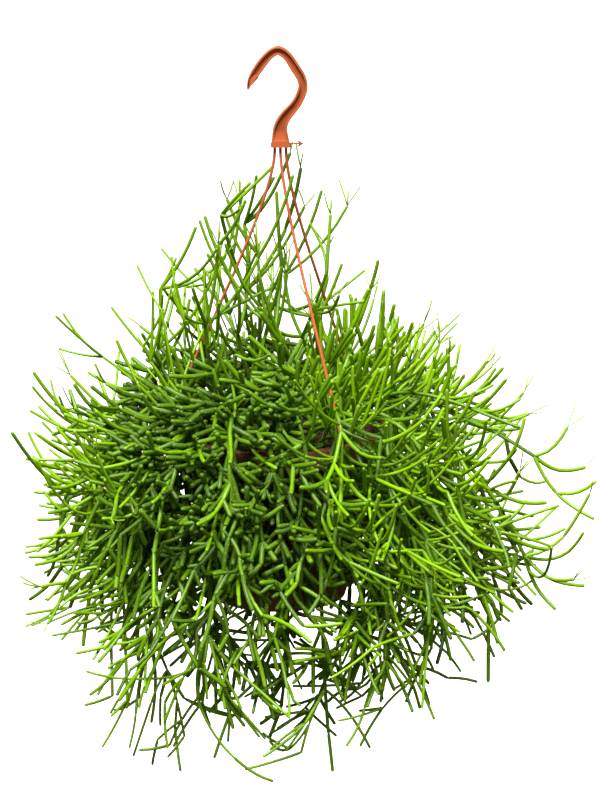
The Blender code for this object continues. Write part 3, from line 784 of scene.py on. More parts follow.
def placed_route(rng, habit, plan):
    """Control points of a shoot whose tip is given."""
    azimuth, root_radius, tip, lean = plan
    root = polar(root_radius * MM, azimuth, SOIL_TOP_Z - STEM_DEPTH)
    tip = Vector(tip) * MM + UP * RIM_TOP
    wobble = Vector([rng.uniform(-most, most) for most in WOBBLE_MM]) * MM
    if habit == "upright":
        aside = Vector((lean * MM, 0, 0))
        knee = root + aside + wobble + UP * KNEE_MM * MM
        return [root, knee, root.lerp(tip, KNEE_SHARE) + aside + wobble, tip]
    over_rim = root * OVER_RIM_OUT + wobble
    over_rim.z = RIM_TOP + rng.uniform(*OVER_RIM_MM) * MM
    hang = UP * (lean * MM + root.z - tip.z) * OUTSIDE_HANG
    outside = root.lerp(tip, OUTSIDE_SHARE) + wobble - hang
    outside.z = max(outside.z, OUTSIDE_LEAST)
    return [root, over_rim, outside, tip]


def grown_route(rng, habit, plan):
    """Control points of a shoot that points a given way from the middle of the bush."""
    azimuth, rise, share = plan
    azimuth += rng.uniform(-AZIMUTH_SHIFT, AZIMUTH_SHIFT)
    swing = rng.uniform(-AZIMUTH_SHIFT, AZIMUTH_SHIFT)
    level = math.sqrt(1 - rise * rise)
    way = polar(level, azimuth + swing, rise + rng.uniform(-RISE_SHIFT, RISE_SHIFT))
    tip = BUSH_CENTRE + way * (share * rng.uniform(*REACH_SHIFT) / bushiness(BUSH_CENTRE + way))
    reach = math.hypot(tip.x, tip.y)
    root = DRAPING_ROOT
    if habit != "draping":
        root = min(ROOT_MOST, max(ROOT_LEAST, reach * ROOT_SHARE))
    root *= rng.uniform(*ROOT_SHIFT)
    if tip.z > DOME_Z:
        shoulder = (root + reach) / 2
        shoulder_z = tip.z + rng.uniform(*DOME_SHOULDER_MM) * MM
    else:
        shoulder = max(reach * SHOULDER_SHARE, SHOULDER_LEAST) * rng.uniform(*SHOULDER_SHIFT)
        shoulder_z = RIM_TOP + rng.uniform(*SHOULDER_MM) * MM
    arch_z = RIM_TOP + rng.uniform(*ARCH_MM) * MM
    return [polar(root, azimuth - swing, SOIL_TOP_Z - STEM_DEPTH),
            polar(root + (shoulder - root) * ARCH_SHARE, azimuth - swing, arch_z),
            polar(shoulder, azimuth, shoulder_z),
            tip]


def planned_stems():
    """The habit and the plan of every stem: a placed shoot's row, or a grown shoot's way."""
    rows = {"upright": UPRIGHT_SHOOTS, "reaching": REACHING_SHOOTS, "draping": DRAPING_SHOOTS}
    plans = [(habit, plan) for habit in rows for plan in rows[habit]]
    for i in range(SHOOT_COUNT):
        rise = LOWEST + (HIGHEST - LOWEST) * (i + 0.5) / SHOOT_COUNT
        low = "spreading" if rise > SPREADING_RISE else "trailing"
        habit = "crown" if rise > CROWN_RISE else low
        plans.append((habit, (i * GOLDEN_ANGLE, rise, SHOOT_SHARE)))
    return plans


def main_shoot(rng, habit, plan, number, room):
    """The first joint of a stem, where the room lets it through."""
    rule = HABITS[habit]
    for _ in range(SHOOT_TRIES):
        if habit in ("upright", "reaching"):
            route = placed_route(rng, habit, plan)
        else:
            route = grown_route(rng, habit, plan)
        if room.is_free(bezier(route, rule.spans), number, 0, rooted=True):
            return Joint(bezier(route, rule.spans), rule.main_radius, 0)
    return None


def bend_of(rng, point, habit):
    """How a joint curves: up towards the light, outward, or down under its own weight."""
    p = point - BUSH_CENTRE
    out = Vector((p.x, p.y, 0)).normalized()
    if habit == "upright":
        lift = rng.uniform(*UPRIGHT_LIFT)
    elif p.z > TOP_LIFT[0]:
        lift = TOP_LIFT[1]
    else:
        lift = MIDDLE_LIFT[1] if p.z > MIDDLE_LIFT[0] else BOTTOM_LIFT
    lift += HABITS[habit].lift
    jitter = shaken(rng, BEND_LOOSE)
    return UP * lift * rng.uniform(*LIFT_SPREAD) + out * BEND_OUT + jitter


def turned_off(rng, heading, low, high):
    """A direction turned off heading by low to high degrees, to any side."""
    side = Quaternion(heading, rng.uniform(0, 2 * math.pi)) @ heading.orthogonal().normalized()
    return (Quaternion(side, math.radians(rng.uniform(low, high))) @ heading).normalized()


def curved_line(start, heading, length, bend, spans):
    """A centreline that leaves start along heading and turns towards bend."""
    shares = [i / spans for i in range(spans + 1)]
    return [start + heading * length * share + bend * length * share * share / 2
            for share in shares]


def grow_joint(rng, stem, parent, at_tip, spans, room):
    """Adds one joint to a stem, at the tip or on the side of its parent, if there is room."""
    rule = HABITS[stem.habit]
    for _ in range(JOINT_TRIES):
        if at_tip:
            heading = parent.heading
            start = parent.points[-1] - heading * TIP_INSET
        else:
            i = rng.randrange(max(1, len(parent.points) // 2 - 1), len(parent.points) - 1)
            start = parent.points[i]
            heading = (parent.points[i + 1] - parent.points[i]).normalized()
        way = turned_off(rng, heading, *rule.turn)
        if stem.habit != "upright":
            way = (way + (start - BUSH_CENTRE).normalized() * OUTWARD).normalized()
        length = rng.uniform(*rule.length)
        points = curved_line(start, way, length, bend_of(rng, start, stem.habit), spans)
        radius = rule.radius * rng.uniform(*FIRST_THICKNESS)
        free = room.is_free(points, stem.number, OWN_LENGTH)
        if free and inside_bush(points[-1], stem.habit):
            joint = Joint(points, radius, parent.rank + 1)
            stem.joints.append(joint)
            room.fill(points, radius, stem.number)
            return joint
    return None


def grow_plant(room):
    """Every stem with its first joints: all main shoots first, then what grows on each."""
    rng = random.Random(PLANT_SEED)
    stems = []
    for habit, plan in planned_stems():
        number = len(stems) + 1
        shoot = main_shoot(rng, habit, plan, number, room)
        if shoot:
            index = 1 + sum(stem.habit == habit for stem in stems)
            stems.append(Stem(f"stem_{habit}_{index:02d}", habit, number, [shoot]))
            room.fill(shoot.points, shoot.radius, number)
    for stem in stems:
        rule = HABITS[stem.habit]
        shoot = stem.joints[0]
        ends = [True] * rule.tip_joints + [False] * rule.side_joints
        forks = [grow_joint(rng, stem, shoot, at_tip, FIRST_RANK_SPANS, room) for at_tip in ends]
        for fork in forks[:SECOND_RANK_FORKS]:
            if fork:
                grow_joint(rng, stem, fork, True, SECOND_RANK_SPANS, room)
    return stems


def check_stems(stems):
    """Stops if a stem isn't where the frame has it."""
    for stem in stems:
        low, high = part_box(stem.name)
        points = [point for joint in stem.joints for point in joint.points]
        for axis in range(3):
            found = min(p[axis] for p in points), max(p[axis] for p in points)
            wanted = low[axis], high[axis]
            if any(abs(a - b) > FRAME_TOLERANCE for a, b in zip(found, wanted)):
                raise RuntimeError(f"{stem.name} isn't where the frame has it: {found}, {wanted}")


def smooth_line(points, steps):
    """A line filled in with points on a smooth (Catmull-Rom) curve through it."""
    if len(points) == 2:
        return [points[0].lerp(points[1], i / steps) for i in range(steps + 1)]
    ends = [2 * points[0] - points[1]] + list(points) + [2 * points[-1] - points[-2]]
    out = []
    for a, b, c, d in zip(ends, ends[1:], ends[2:], ends[3:]):
        for i in range(steps):
            t = i / steps
            curve = 2 * b + (c - a) * t + (2 * a - 5 * b + 4 * c - d) * t * t
            out.append((curve + (3 * b - a - 3 * c + d) * t * t * t) / 2)
    return out + [points[-1]]


def frontness(point):
    """1 in front of the pot and a little to its left, where the oldest joints hang, 0 elsewhere."""
    way = (point - BUSH_CENTRE).normalized()
    return within((way.dot(FRONT_WAY) - FRONT_EDGE) / FRONT_FADE)


def ripeness(point, habit):
    """1 where the joints are old, short and thick, 0 where they are young."""
    if habit in ("upright", "reaching"):
        return 0.0
    dome = within((point.z - RIM_TOP + DOME_DROP) / DOME_FADE)
    reach = HEART_REACH + DOME_REACH * dome * (point.x < DOME_RIGHT)
    heart = within((reach - bushiness(point)) / HEART_FADE)
    shade = within(1 - (point.x - SHADE_RIGHT) / SHADE_FADE, SHADE_LEAST)
    return max(heart * shade, frontness(point))


def ragged_limit(point):
    """How far out the joints reach, by direction: uneven, and less to the upper and lower right."""
    way = (point - BUSH_CENTRE).normalized()
    right, left, under = max(0, way.x), max(0, -way.x), max(0, -way.z)
    upper = within(way.z / UPPER_FADE)
    uneven = RAGGED_SWING * noise.noise(way * RAGGED_SCALE) - FRONT_LESS * frontness(point)
    more = UPPER_LEFT_MORE * upper + UNDER_LEFT_MORE * under
    uneven += TOP_MORE * max(0, way.z) + more * left
    less = RIGHT_LESS + UPPER_RIGHT_LESS * upper + UNDER_RIGHT_LESS * under
    return RAGGED_LIMIT + uneven - right * less + UNDER_MORE * under


def curve_of(rng, point, habit, ripe):
    """How a fine joint curves: up near the top, down at the bottom, and sideways a little."""
    rise = (point.z - BUSH_CENTRE.z) / BUSH_UP
    lift = HIGH_CURVE if rise > HIGH_RISE else RIGHT_CURVE if point.x > 0 else LEFT_CURVE
    if rise < LOW_RISE:
        lift = rng.uniform(*LOW_CURVE)
    if habit == "reaching" and point.x > 0:
        lift = REACHING_CURVE
    if habit == "crown":
        lift = CROWN_CURVE * (bushiness(point) > CROWN_EDGE)
    jitter = shaken(rng, SPRAYS[habit].loose)
    return (UP * lift * rng.uniform(*CURVE_SPREAD) + jitter) * (1 - RIPE_STIFFNESS * ripe)


def bowed(points, share):
    """A line whose middle hangs below its ends by a share of its length, or stands above them."""
    chord = points[-1] - points[0]
    down = chord * (UP.dot(chord) / chord.length_squared) - UP
    steps = len(points) - 1
    return [point + down * chord.length * share * 4 * (i / steps) * (1 - i / steps)
            for i, point in enumerate(points)]


def part_line(rng, joint, piece):
    """Marks where a long first joint is pinched into shorter ones."""
    length = joint.length
    count = max(1, round(length / piece))
    joint.pinches = [length * (i + rng.uniform(-PINCH_SHIFT, PINCH_SHIFT)) / count
                     for i in range(1, count)]


def line_at(points, walk):
    """The point at a distance along a line, and the heading there."""
    for start, end in zip(points, points[1:]):
        step = (end - start).length
        if walk <= step:
            return start.lerp(end, walk / step), (end - start).normalized()
        walk -= step
    return points[-1].copy(), (points[-1] - points[-2]).normalized()


def inside_box(point):
    """Whether a point is within the frame's box and the allowance round it."""
    return all(low - more < place < high + more
               for low, place, high, more in zip(CAD_BOX[0], point, CAD_BOX[1], BOX_ALLOWANCE))


def before_saucer(point):
    """Whether a point is in one of the gaps that let the saucer show."""
    if abs(point.x) > SAUCER_VIEW_HALF or point.y > -SAUCER_VIEW_NEAR:
        return False
    top = SAUCER_VIEW_TOP - SAUCER_VIEW_SLOPE * (point.y + SAUCER_VIEW_NEAR)
    gap = noise.noise(point * SAUCER_VIEW_SCALE) >= SAUCER_VIEW_SHARE
    return gap and SAUCER_VIEW_LOW < point.z < top


def above_mix(point):
    """Whether joints may start at a point: well above the mix, or outside the pot."""
    return point.z > SOIL_TOP_Z + ABOVE_MIX or math.hypot(point.x, point.y) > RIM_RADIUS


def fits(stem, room, points):
    """Whether a fine joint along these points stays in the box and touches nothing."""
    return inside_box(points[-1]) and room.is_free(points, stem.number, OWN_LENGTH)


def add_joint(rng, stem, parent, points, radius, age, room=None, branched=False):
    """Puts a joint on a stem, and in the room where there is one."""
    joint = Joint(points, radius, parent.rank + 1, age, rng.random(), branched=branched)
    stem.joints.append(joint)
    if room:
        room.fill(points, radius, stem.number)
    return joint


def grow_twig(rng, stem, parent, start, heading, turn, room):
    """Adds one fine joint that starts at a point of its parent, if there is room."""
    spray = SPRAYS[stem.habit]
    ripe = ripeness(start, stem.habit)
    place = bushiness(start)
    outward = OUTWARD_LEAST + OUTWARD_EDGE * min(1, place) ** 2 * (1 - ripe)
    lift = RIGHT_LIFT * (1 - ripe) * (start.x > 0 and start.z > RIM_TOP - RIGHT_LIFT_DROP)
    if stem.habit == "reaching":
        lift = REACHING_LIFT
    out = (start - BUSH_CENTRE).normalized()
    boldness = (BOLD + BOLD_TOP * max(0, out.z)) * rng.random() ** 3 - TIMID
    if out.z < 0:
        out.z *= HANGING_FLATTEN
        outward += OUTWARD_LEFT * max(0, -out.x) * (1 - ripe)
    # Joints deep in the bush are aged and darkened: partly real age, partly painted shade of the
    # bush's heart
    age = blend(spray.age, OLDEST, max(ripe, within((INNER_AGE_AND_SHADE_REACH - place) / INNER_AGE_AND_SHADE_FADE)))
    age -= RANK_YOUTH * parent.rank
    low, high = [blend(young, old, ripe) for young, old in zip(turn, RIPE_TURN)]
    for _ in range(TWIG_TRIES):
        way = turned_off(rng, heading, low, high)
        if stem.habit != "upright":
            way = (way + out * outward + UP * lift).normalized()
            if start.z > RIM_TOP:
                way.z *= 1 - RIPE_FLATTEN * ripe
                way.normalize()
        length = blend(rng.uniform(*spray.length), rng.uniform(*RIPE_LENGTH), ripe)
        radius = blend(spray.radius, RIPE_RADIUS, ripe) * rng.uniform(*TWIG_THICKNESS)
        radius = min(radius, parent.radius * PARENT_THICKNESS)
        curve = curve_of(rng, start, stem.habit, ripe)
        spans = TWIG_SPANS + round(YOUNG_SPANS * (1 - ripe))
        points = curved_line(start, way, length, curve, spans)
        middle, end = points[len(points) // 2], points[-1]
        if before_saucer(end) or before_saucer(middle):
            continue
        limit = ragged_limit(end) + boldness
        if inside_bush(end, stem.habit, limit) and fits(stem, room, points):
            stem.grown += length
            age = max(YOUNGEST, age + rng.uniform(-AGE_SHIFT, AGE_SHIFT))
            return add_joint(rng, stem, parent, points, radius, age, room)
    return None


def grow_risers(rng, stem, room):
    """Stands a few young forked shoots on the left of the dome."""
    for base in list(stem.joints):
        start = base.tip()
        if start.x > RISER_RIGHT or start.z < RISER_LOW_Z or bushiness(start) < RISER_HEART:
            continue
        if rng.random() > RISER_SHARE or math.hypot(start.x, start.y) > RISER_RING:
            continue
        riser = None
        for _ in range(RISER_TRIES):
            side = shaken(rng, RISER_LOOSE)
            way = (UP + side + RISER_LEAN).normalized()
            curve = UP * RISER_CURVE + side * RISER_SWAY
            points = curved_line(start, way, rng.uniform(*RISER_LENGTH), curve, RISER_SPANS)
            if points[-1].z < RISER_TOP and fits(stem, room, points):
                radius = RISER_RADIUS * rng.uniform(*RISER_THICKNESS)
                riser = add_joint(rng, stem, base, points, radius, RISER_AGE, room, branched=True)
                break
        for _ in range(rng.randint(*FORK_COUNT) if riser else 0):
            way = (turned_off(rng, riser.heading, *FORK_TURN) + UP * FORK_LIFT).normalized()
            curve = UP * rng.uniform(*FORK_CURVE) + shaken(rng, SIDE_CURVE)
            length = rng.uniform(*FORK_SHARE) * RISER_LENGTH[1]
            points = curved_line(riser.tip(), way, length, curve, FORK_SPANS)
            if fits(stem, room, points):
                radius = riser.radius * FORK_THICKNESS
                add_joint(rng, stem, riser, points, radius, FORK_AGE, room)


def grow_whiskers(rng, stem):
    """Adds thin new growth at some of the outermost tips."""
    for parent in stem.tips:
        if rng.random() > SPRAYS[stem.habit].whiskers:
            continue
        if ripeness(parent.points[-1], stem.habit) > WHISKER_RIPE:
            continue
        for _ in range(rng.randint(*WHISKER_COUNT)):
            way = turned_off(rng, parent.heading, *WHISKER_TURN) + UP * WHISKER_LIFT
            length = rng.uniform(*WHISKER_LENGTH)
            curve = UP * rng.uniform(*WHISKER_CURVE)
            curve += Vector((rng.gauss(0, SIDE_CURVE), rng.gauss(0, SIDE_CURVE), 0))
            start = parent.tip(WHISKER_INSET)
            points = curved_line(start, way.normalized(), length, curve, WHISKER_SPANS)
            radius = WHISKER_RADIUS * rng.uniform(*WHISKER_THICKNESS)
            if inside_box(points[-1]):
                add_joint(rng, stem, parent, points, radius, 0.0, branched=True)


def grow_buds(rng, stem):
    """Adds a dry bud at some of the old tips."""
    for parent in stem.tips:
        if parent.age > BUD_FROM and rng.random() < BUD_SHARE:
            start = parent.points[-1] - parent.heading * BUD_RADIUS
            points = [start, start + turned_off(rng, parent.heading, *BUD_TURN) * BUD_LENGTH]
            radius = BUD_RADIUS * rng.uniform(*BUD_THICKNESS)
            add_joint(rng, stem, parent, points, radius, BUD_AGE, branched=True)


def grow_sides(rng, stem, joint, room):
    """Adds joints at the pinches of a long joint."""
    for walk in joint.pinches:
        point, heading = line_at(joint.points, walk)
        if above_mix(point):
            for _ in range(rng.randint(*SIDE_COUNT)):
                grow_twig(rng, stem, joint, point, heading, SIDE_TURN, room)


def grow_whorl(rng, stem, joint, room):
    """Adds the joints that grow from the tip of one joint."""
    spray = SPRAYS[stem.habit]
    before = len(stem.joints)
    for _ in range(rng.randint(*spray.whorl)):
        grow_twig(rng, stem, joint, joint.tip(), joint.heading, spray.turn, room)
    joint.branched = len(stem.joints) > before


def grow_curtain(rng, stem, room):
    """Hangs chains of old joints from the arch of a shoot, down along the pot."""
    shoot = stem.joints[0]
    for _ in range(CURTAIN_CHAINS[stem.habit]):
        start, _ = line_at(shoot.points, rng.uniform(*CURTAIN_SPAN) * shoot.length)
        if math.hypot(start.x, start.y) < CURTAIN_RING or start.z < CURTAIN_LOW_Z:
            continue
        parent = shoot
        for _ in range(CURTAIN_JOINTS + CURTAIN_SPARE):
            if parent.rank == CURTAIN_JOINTS:
                break
            way = Vector((start.x * CURTAIN_OUT, start.y * CURTAIN_OUT, -1))
            way = (way + shaken(rng, CURTAIN_LOOSE)).normalized()
            length = rng.uniform(*CURTAIN_LENGTH_MM) * MM
            curve = shaken(rng, CURTAIN_CURVE)
            points = curved_line(start, way, length, curve, CURTAIN_SPANS)
            if not before_saucer(points[-1]) and fits(stem, room, points):
                radius = CURTAIN_RADIUS * rng.uniform(*CURTAIN_THICKNESS)
                age = rng.uniform(*CURTAIN_AGE)
                parent = add_joint(rng, stem, parent, points, radius, age, room)
                start = parent.tip()


def fill_out(rng, stem, room):
    """Adds joints along the oldest joints of a stem until it has as many as it should."""
    spray = SPRAYS[stem.habit]
    old = [joint for joint in stem.joints if joint.rank < 2]
    for _ in range(round(FILL_TRIES * spray.most)):
        if stem.grown > spray.most:
            break
        joint = rng.choice(old)
        point, heading = line_at(joint.points, rng.uniform(*FILL_SPAN) * joint.length)
        if above_mix(point):
            twig = grow_twig(rng, stem, joint, point, heading, SIDE_TURN, room)
            if twig:
                grow_whorl(rng, stem, twig, room)


def finish_first(rng, stem, joint):
    """Smooths and bows a first joint, slims it where it is young, and parts it by pinches."""
    spray = SPRAYS[stem.habit]
    main = joint.rank == 0
    joint.points = smooth_line(joint.points, FIRST_STEPS)
    if not main:
        rising = joint.points[0].z > RIM_TOP - BOW_DROP
        joint.points = bowed(joint.points, RISING_BOW if rising else HANGING_BOW)
    joint.age = max(spray.age, FIRST_AGE) + MAIN_AGE * main
    joint.tint = rng.random()
    ripe = ripeness(joint.points[-1], stem.habit)
    slim = spray.radius * rng.uniform(*SLIM)
    fullness = MAIN_FULLNESS * main + RIPE_FULLNESS * ripe
    joint.radius = slim + max(0, joint.radius - slim) * fullness
    part_line(rng, joint, blend(spray.piece, RIPE_PIECE, ripe))


def grow_twigs(stems, room):
    """All fine joints, round by round, so that every stem gets its share of the room."""
    rng = random.Random(PLANT_SEED + 1)
    for stem in stems:
        for joint in stem.joints:
            finish_first(rng, stem, joint)
            room.fill(joint.points, joint.radius, stem.number)
    for stem in stems:
        if stem.habit in CURTAIN_CHAINS:
            grow_curtain(rng, stem, room)
    for stem in stems:
        for joint in list(stem.joints):
            grow_sides(rng, stem, joint, room)
    for _ in range(ROUNDS):
        for stem in stems:
            for joint in stem.tips:
                if stem.grown > SPRAYS[stem.habit].most:
                    break
                grow_whorl(rng, stem, joint, room)
    for stem in stems:
        fill_out(rng, stem, room)
    for stem in stems:
        if stem.habit in ("crown", "spreading"):
            grow_risers(rng, stem, room)
    for stem in stems:
        grow_whiskers(rng, stem)
        grow_buds(rng, stem)


def rounded_radius(walk, joint, length):
    """The radius at a distance along a joint: narrow at its base and pinches, blunt at its tip."""
    radius = joint.radius
    base = min(1, walk / (BASE_SPAN * radius))
    share = BASE_SHARE + (1 - BASE_SHARE) * base * base * (3 - 2 * base)
    share *= 1 - TAPER * walk / length
    for pinch in joint.pinches:
        share *= 1 - PINCH_DEPTH * math.exp(-((walk - pinch) / (PINCH_SPAN * radius)) ** 2)
    left = (length - walk) / radius
    if left < 1:
        share *= math.sqrt(max(0, 1 - (1 - left) ** 2))
    return radius * share


def ring_walks(joint, length):
    """The distances along a joint at which it gets a ring of corners."""
    radius = joint.radius
    thin = joint.age <= 0
    marks = [share * radius for share in (BASE_RINGS[:1] if thin else BASE_RINGS)]
    for pinch in joint.pinches:
        marks += [pinch - PINCH_RINGS * radius, pinch, pinch + PINCH_RINGS * radius]
    marks += [length - share * radius for share in (WHISKER_TIP_RINGS if thin else TIP_RINGS)]
    filled = []
    for low, high in zip(marks, marks[1:]):
        spans = max(1, math.ceil((high - low) / RING_STEP))
        filled += [low + (high - low) * i / spans for i in range(spans)]
    return filled + [marks[-1]]


def joint_rings(joint, sides):
    """The corners of one joint as a closed tube, from its base to its tip, and their distances."""
    line = np.array([tuple(point) for point in joint.points])
    steps = np.linalg.norm(np.diff(line, axis=0), axis=1)
    walked = np.concatenate([[0], np.cumsum(steps)])
    length = walked[-1]
    walks = np.array(ring_walks(joint, length))
    behind, centres, ahead = [
        np.stack([np.interp(walks + shift, walked, line[:, i]) for i in range(3)], 1)
        for shift in (-MM, 0, MM)]
    tangents = ahead - behind
    tangents /= np.linalg.norm(tangents, axis=1)[:, None]
    across = np.array(Vector(tangents[0]).orthogonal().normalized())
    turns = 2 * math.pi * np.arange(sides) / sides
    rings = []
    for centre, tangent, walk in zip(centres, tangents, walks):
        across = across - tangent * across.dot(tangent)
        across /= np.linalg.norm(across)
        over = np.cross(tangent, across)
        radius = rounded_radius(walk, joint, length)
        circle = np.outer(np.cos(turns), across) + np.outer(np.sin(turns), over)
        rings.append(centre + radius * circle)
    return np.concatenate([[line[0]], *rings, [line[-1]]]), walks, length


def sides_of(joint):
    """The number of sides of a joint's tube: more for thick ones, few for whiskers."""
    if joint.age <= 0:
        return WHISKER_SIDES
    return THIN_SIDES + sum(joint.radius > radius for radius in THICK)


def tube_faces(rings, sides, first):
    """Corner indices of a tube's faces, and each corner's ring and side, for the flat maps."""
    faces, spots = [], []
    tip = first + rings * sides + 1
    for k in range(sides):
        after = (k + 1) % sides
        faces.append((first, first + 1 + after, first + 1 + k))
        spots.append(((-1, k + 0.5), (0, k + 1), (0, k)))
        for i in range(rings - 1):
            low, high = first + 1 + i * sides, first + 1 + (i + 1) * sides
            faces.append((low + k, low + after, high + after, high + k))
            spots.append(((i, k), (i, k + 1), (i + 1, k + 1), (i + 1, k)))
        last = first + 1 + (rings - 1) * sides
        faces.append((last + k, last + after, tip))
        spots.append(((rings - 1, k), (rings - 1, k + 1), (rings, k + 0.5)))
    return faces, spots


def packed_strips(sizes):
    """Lower left corners that lay (width, height) rectangles out on a square, and its side."""
    side = math.sqrt(sum(width * height for width, height in sizes)) * STRIP_SPARE
    order = sorted(range(len(sizes)), key=lambda i: -sizes[i][1])
    while True:
        places = {}
        x = y = row = 0.0
        for i in order:
            width, height = sizes[i]
            if x + width > side:
                x, y, row = 0.0, y + row, 0.0
            row = max(row, height)
            places[i] = (x, y)
            x += width
        if y + row <= side:
            return places, side
        side *= STRIP_GROWTH


def stem_mesh(stem):
    """One mesh with all joints of a stem, its growth attribute and its two flat maps."""
    corners, growth, faces, spots, owners = [], [], [], [], []
    tubes = []
    first = 0
    for index, joint in enumerate(stem.joints):
        sides = sides_of(joint)
        places, walks, length = joint_rings(joint, sides)
        made, where = tube_faces(len(walks), sides, first)
        faces += made
        spots += where
        owners += [index] * len(made)
        corners.append(places)
        along = np.concatenate([[0], np.repeat(walks, sides), [length]]) / length
        tint = np.full(len(places), joint.tint)
        growth.append(np.stack([np.full(len(places), joint.age), tint, along], 1))
        girth = 2 * math.pi * joint.radius
        tubes.append((np.concatenate([[0], walks, [length]]), sides, girth, length))
        first += len(places)
    mesh = bpy.data.meshes.new(stem.name)
    mesh.from_pydata(np.concatenate(corners), [], faces)
    layer = mesh.attributes.new("growth", "FLOAT_VECTOR", "POINT")
    layer.data.foreach_set("vector", np.concatenate(growth).astype(np.float32).ravel())
    strips, side = packed_strips([(girth + STRIP_MARGIN, length + STRIP_MARGIN)
                                  for _, _, girth, length in tubes])
    skin, flat = [], []
    for owner, where in zip(owners, spots):
        walks, sides, girth, length = tubes[owner]
        x, y = strips[owner]
        for ring, turn in where:
            skin.append((turn / sides, walks[ring + 1] / MM))
            flat.append(((x + STRIP_MARGIN / 2 + girth * turn / sides) / side,
                         (y + STRIP_MARGIN / 2 + walks[ring + 1]) / side))
    for name, values in (("skin", skin), ("OFBake", flat)):
        mesh.uv_layers.new(name=name).data.foreach_set("uv", np.array(values, np.float32).ravel())
    mesh.shade_smooth()
    return mesh


def shown(name, mesh, material):
    """Puts a finished mesh in the scene, in the place of the frame's node of the same name."""
    piece = bpy.data.objects.new(name, mesh)
    bpy.context.scene.collection.objects.link(piece)
    mesh.materials.append(material)
    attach(piece, BODY)
    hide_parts(name)


class Wire:
    """An output socket of a material's nodes. An expression on values adds its Math nodes."""

    def __init__(self, tree, socket=None):
        self.tree = tree
        self.socket = socket

    def node(self, kind, settings=None, values=None, output=0):
        """Adds a node, its settings first and then its sockets' values, and gives one output."""
        made = self.tree.nodes.new("ShaderNode" + kind)
        for name, value in (settings or {}).items():
            if name == "stops":
                set_stops(made.color_ramp, value)
            else:
                setattr(made, name, value)
        for name, value in (values or {}).items():
            if isinstance(value, Wire):
                self.tree.links.new(value.socket, made.inputs[name])
            else:
                made.inputs[name].default_value = value
        return Wire(self.tree, made.outputs[output])

    def maths(self, operation, a, b):
        return self.node("Math", {"operation": operation}, {0: a, 1: b})

    def __add__(self, other):
        return self.maths("ADD", self, other)

    def __sub__(self, other):
        return self.maths("SUBTRACT", self, other)

    def __rsub__(self, other):
        return self.maths("SUBTRACT", other, self)

    def __mul__(self, other):
        return self.maths("MULTIPLY", self, other)

    def __truediv__(self, other):
        return self.maths("DIVIDE", self, other)

    __radd__ = __add__
    __rmul__ = __mul__

    def part(self, axis):
        return self.node("SeparateXYZ", None, {0: self}, axis)

    def ramp(self, *stops):
        """This value sent through a curve of stops."""
        return self.node("ValToRGB", {"stops": stops}, {"Fac": self})

    def between(self, low, high):
        """The colour this share of the way from one colour to another."""
        low, high = [end if isinstance(end, Wire) else (*end, 1) for end in (low, high)]
        return self.node("Mix", {"data_type": "RGBA"}, {0: self, 6: low, 7: high}, 2)

    def scaled(self, scale):
        """This colour made brighter or darker."""
        return self.node("VectorMath", {"operation": "SCALE"}, {0: self, "Scale": scale})

    def grain(self, scale, detail=2.0, roughness=0.5):
        """Noise over this place. Its scale is in lumps a metre."""
        values = {"Vector": self, "Scale": scale, "Detail": detail, "Roughness": roughness}
        return self.node("TexNoise", None, values)

    def relief(self, strength, distance):
        """The normal that this height gives."""
        values = {"Strength": strength, "Distance": distance, "Height": self}
        return self.node("Bump", None, values)


def set_stops(ramp, stops):
    """Gives a colour ramp its stops, as pairs of position and grey value."""
    while len(ramp.elements) < len(stops):
        ramp.elements.new(1)
    for element, (position, value) in zip(ramp.elements, stops):
        element.position = position
        element.color = (value, value, value, 1)


def blank_material(name, **fixed):
    """A material with its fixed values on the shader, the shader, and a wire to start from."""
    material = bpy.data.materials.new(name)
    material.use_nodes = True
    tree = material.node_tree
    shader = tree.nodes["Principled BSDF"]
    for socket, value in fixed.items():
        shader.inputs[socket.replace("_", " ")].default_value = value
    return material, shader, Wire(tree)


def feed(shader, **wires):
    """Links wires to the shader's sockets of the same names."""
    for socket, wire in wires.items():
        wire.tree.links.new(wire.socket, shader.inputs[socket.replace("_", " ")])


def stem_skin(name, settings):
    """Waxy green skin: pale at new tips, blue-green and dull on old joints, with pale areoles."""
    material, shader, start = blank_material(name, Specular_IOR_Level=SKIN_GLOSS)
    place = start.node("TexCoord", output="Object")
    growth = start.node("Attribute", {"attribute_name": "growth"}, output="Vector")
    age, tint, along = [growth.part(axis) for axis in "XYZ"]
    broad = place.grain(SKIN_BROAD)
    fine = place.grain(SKIN_FINE, 3.0)
    mottle = place.grain(SKIN_MOTTLE, 3.0, 0.6)
    aged = age + (broad - 0.5) * PATCH_AGE + (tint - 0.5) * TINT_AGE - along * TIP_YOUTH
    green = settings.new_colour
    older = (settings.young_colour, settings.middle_colour, settings.old_colour)
    for stops, colour in zip(AGE_STOPS, older):
        green = aged.ramp(*stops).between(green, colour)
    green = green.scaled(0.82 + 0.22 * tint + 0.28 * (mottle - 0.4))
    skin = start.node("UVMap", {"uv_map": "skin"})
    spread = start.node("VectorMath", {"operation": "MULTIPLY"}, {0: skin, 1: AREOLE_SPREAD})
    dots = start.node("TexVoronoi", {"voronoi_dimensions": "2D"},
                      {"Vector": spread, "Scale": 1.0, "Randomness": 0.7}, "Distance")
    areole = dots.ramp((0.05, 1), (0.1, 0))
    green = (areole * AREOLE_SHARE).between(green, settings.areole_colour)
    scar = place.grain(SKIN_SCARS, 4.0, 0.7).ramp((0.71, 0), (0.78, 1))
    green = (scar * SCAR_SHARE).between(green, settings.scar_colour)
    green = (age / BUD_AGE).ramp((0.75, 0), (0.8, 1)).between(green, settings.bud_colour)
    feed(shader, Base_Color=green, Roughness=0.24 + 0.12 * fine + 0.12 * age,
         Normal=(fine * 0.5 + mottle - areole * 0.6).relief(0.25, SKIN_RELIEF))
    return material


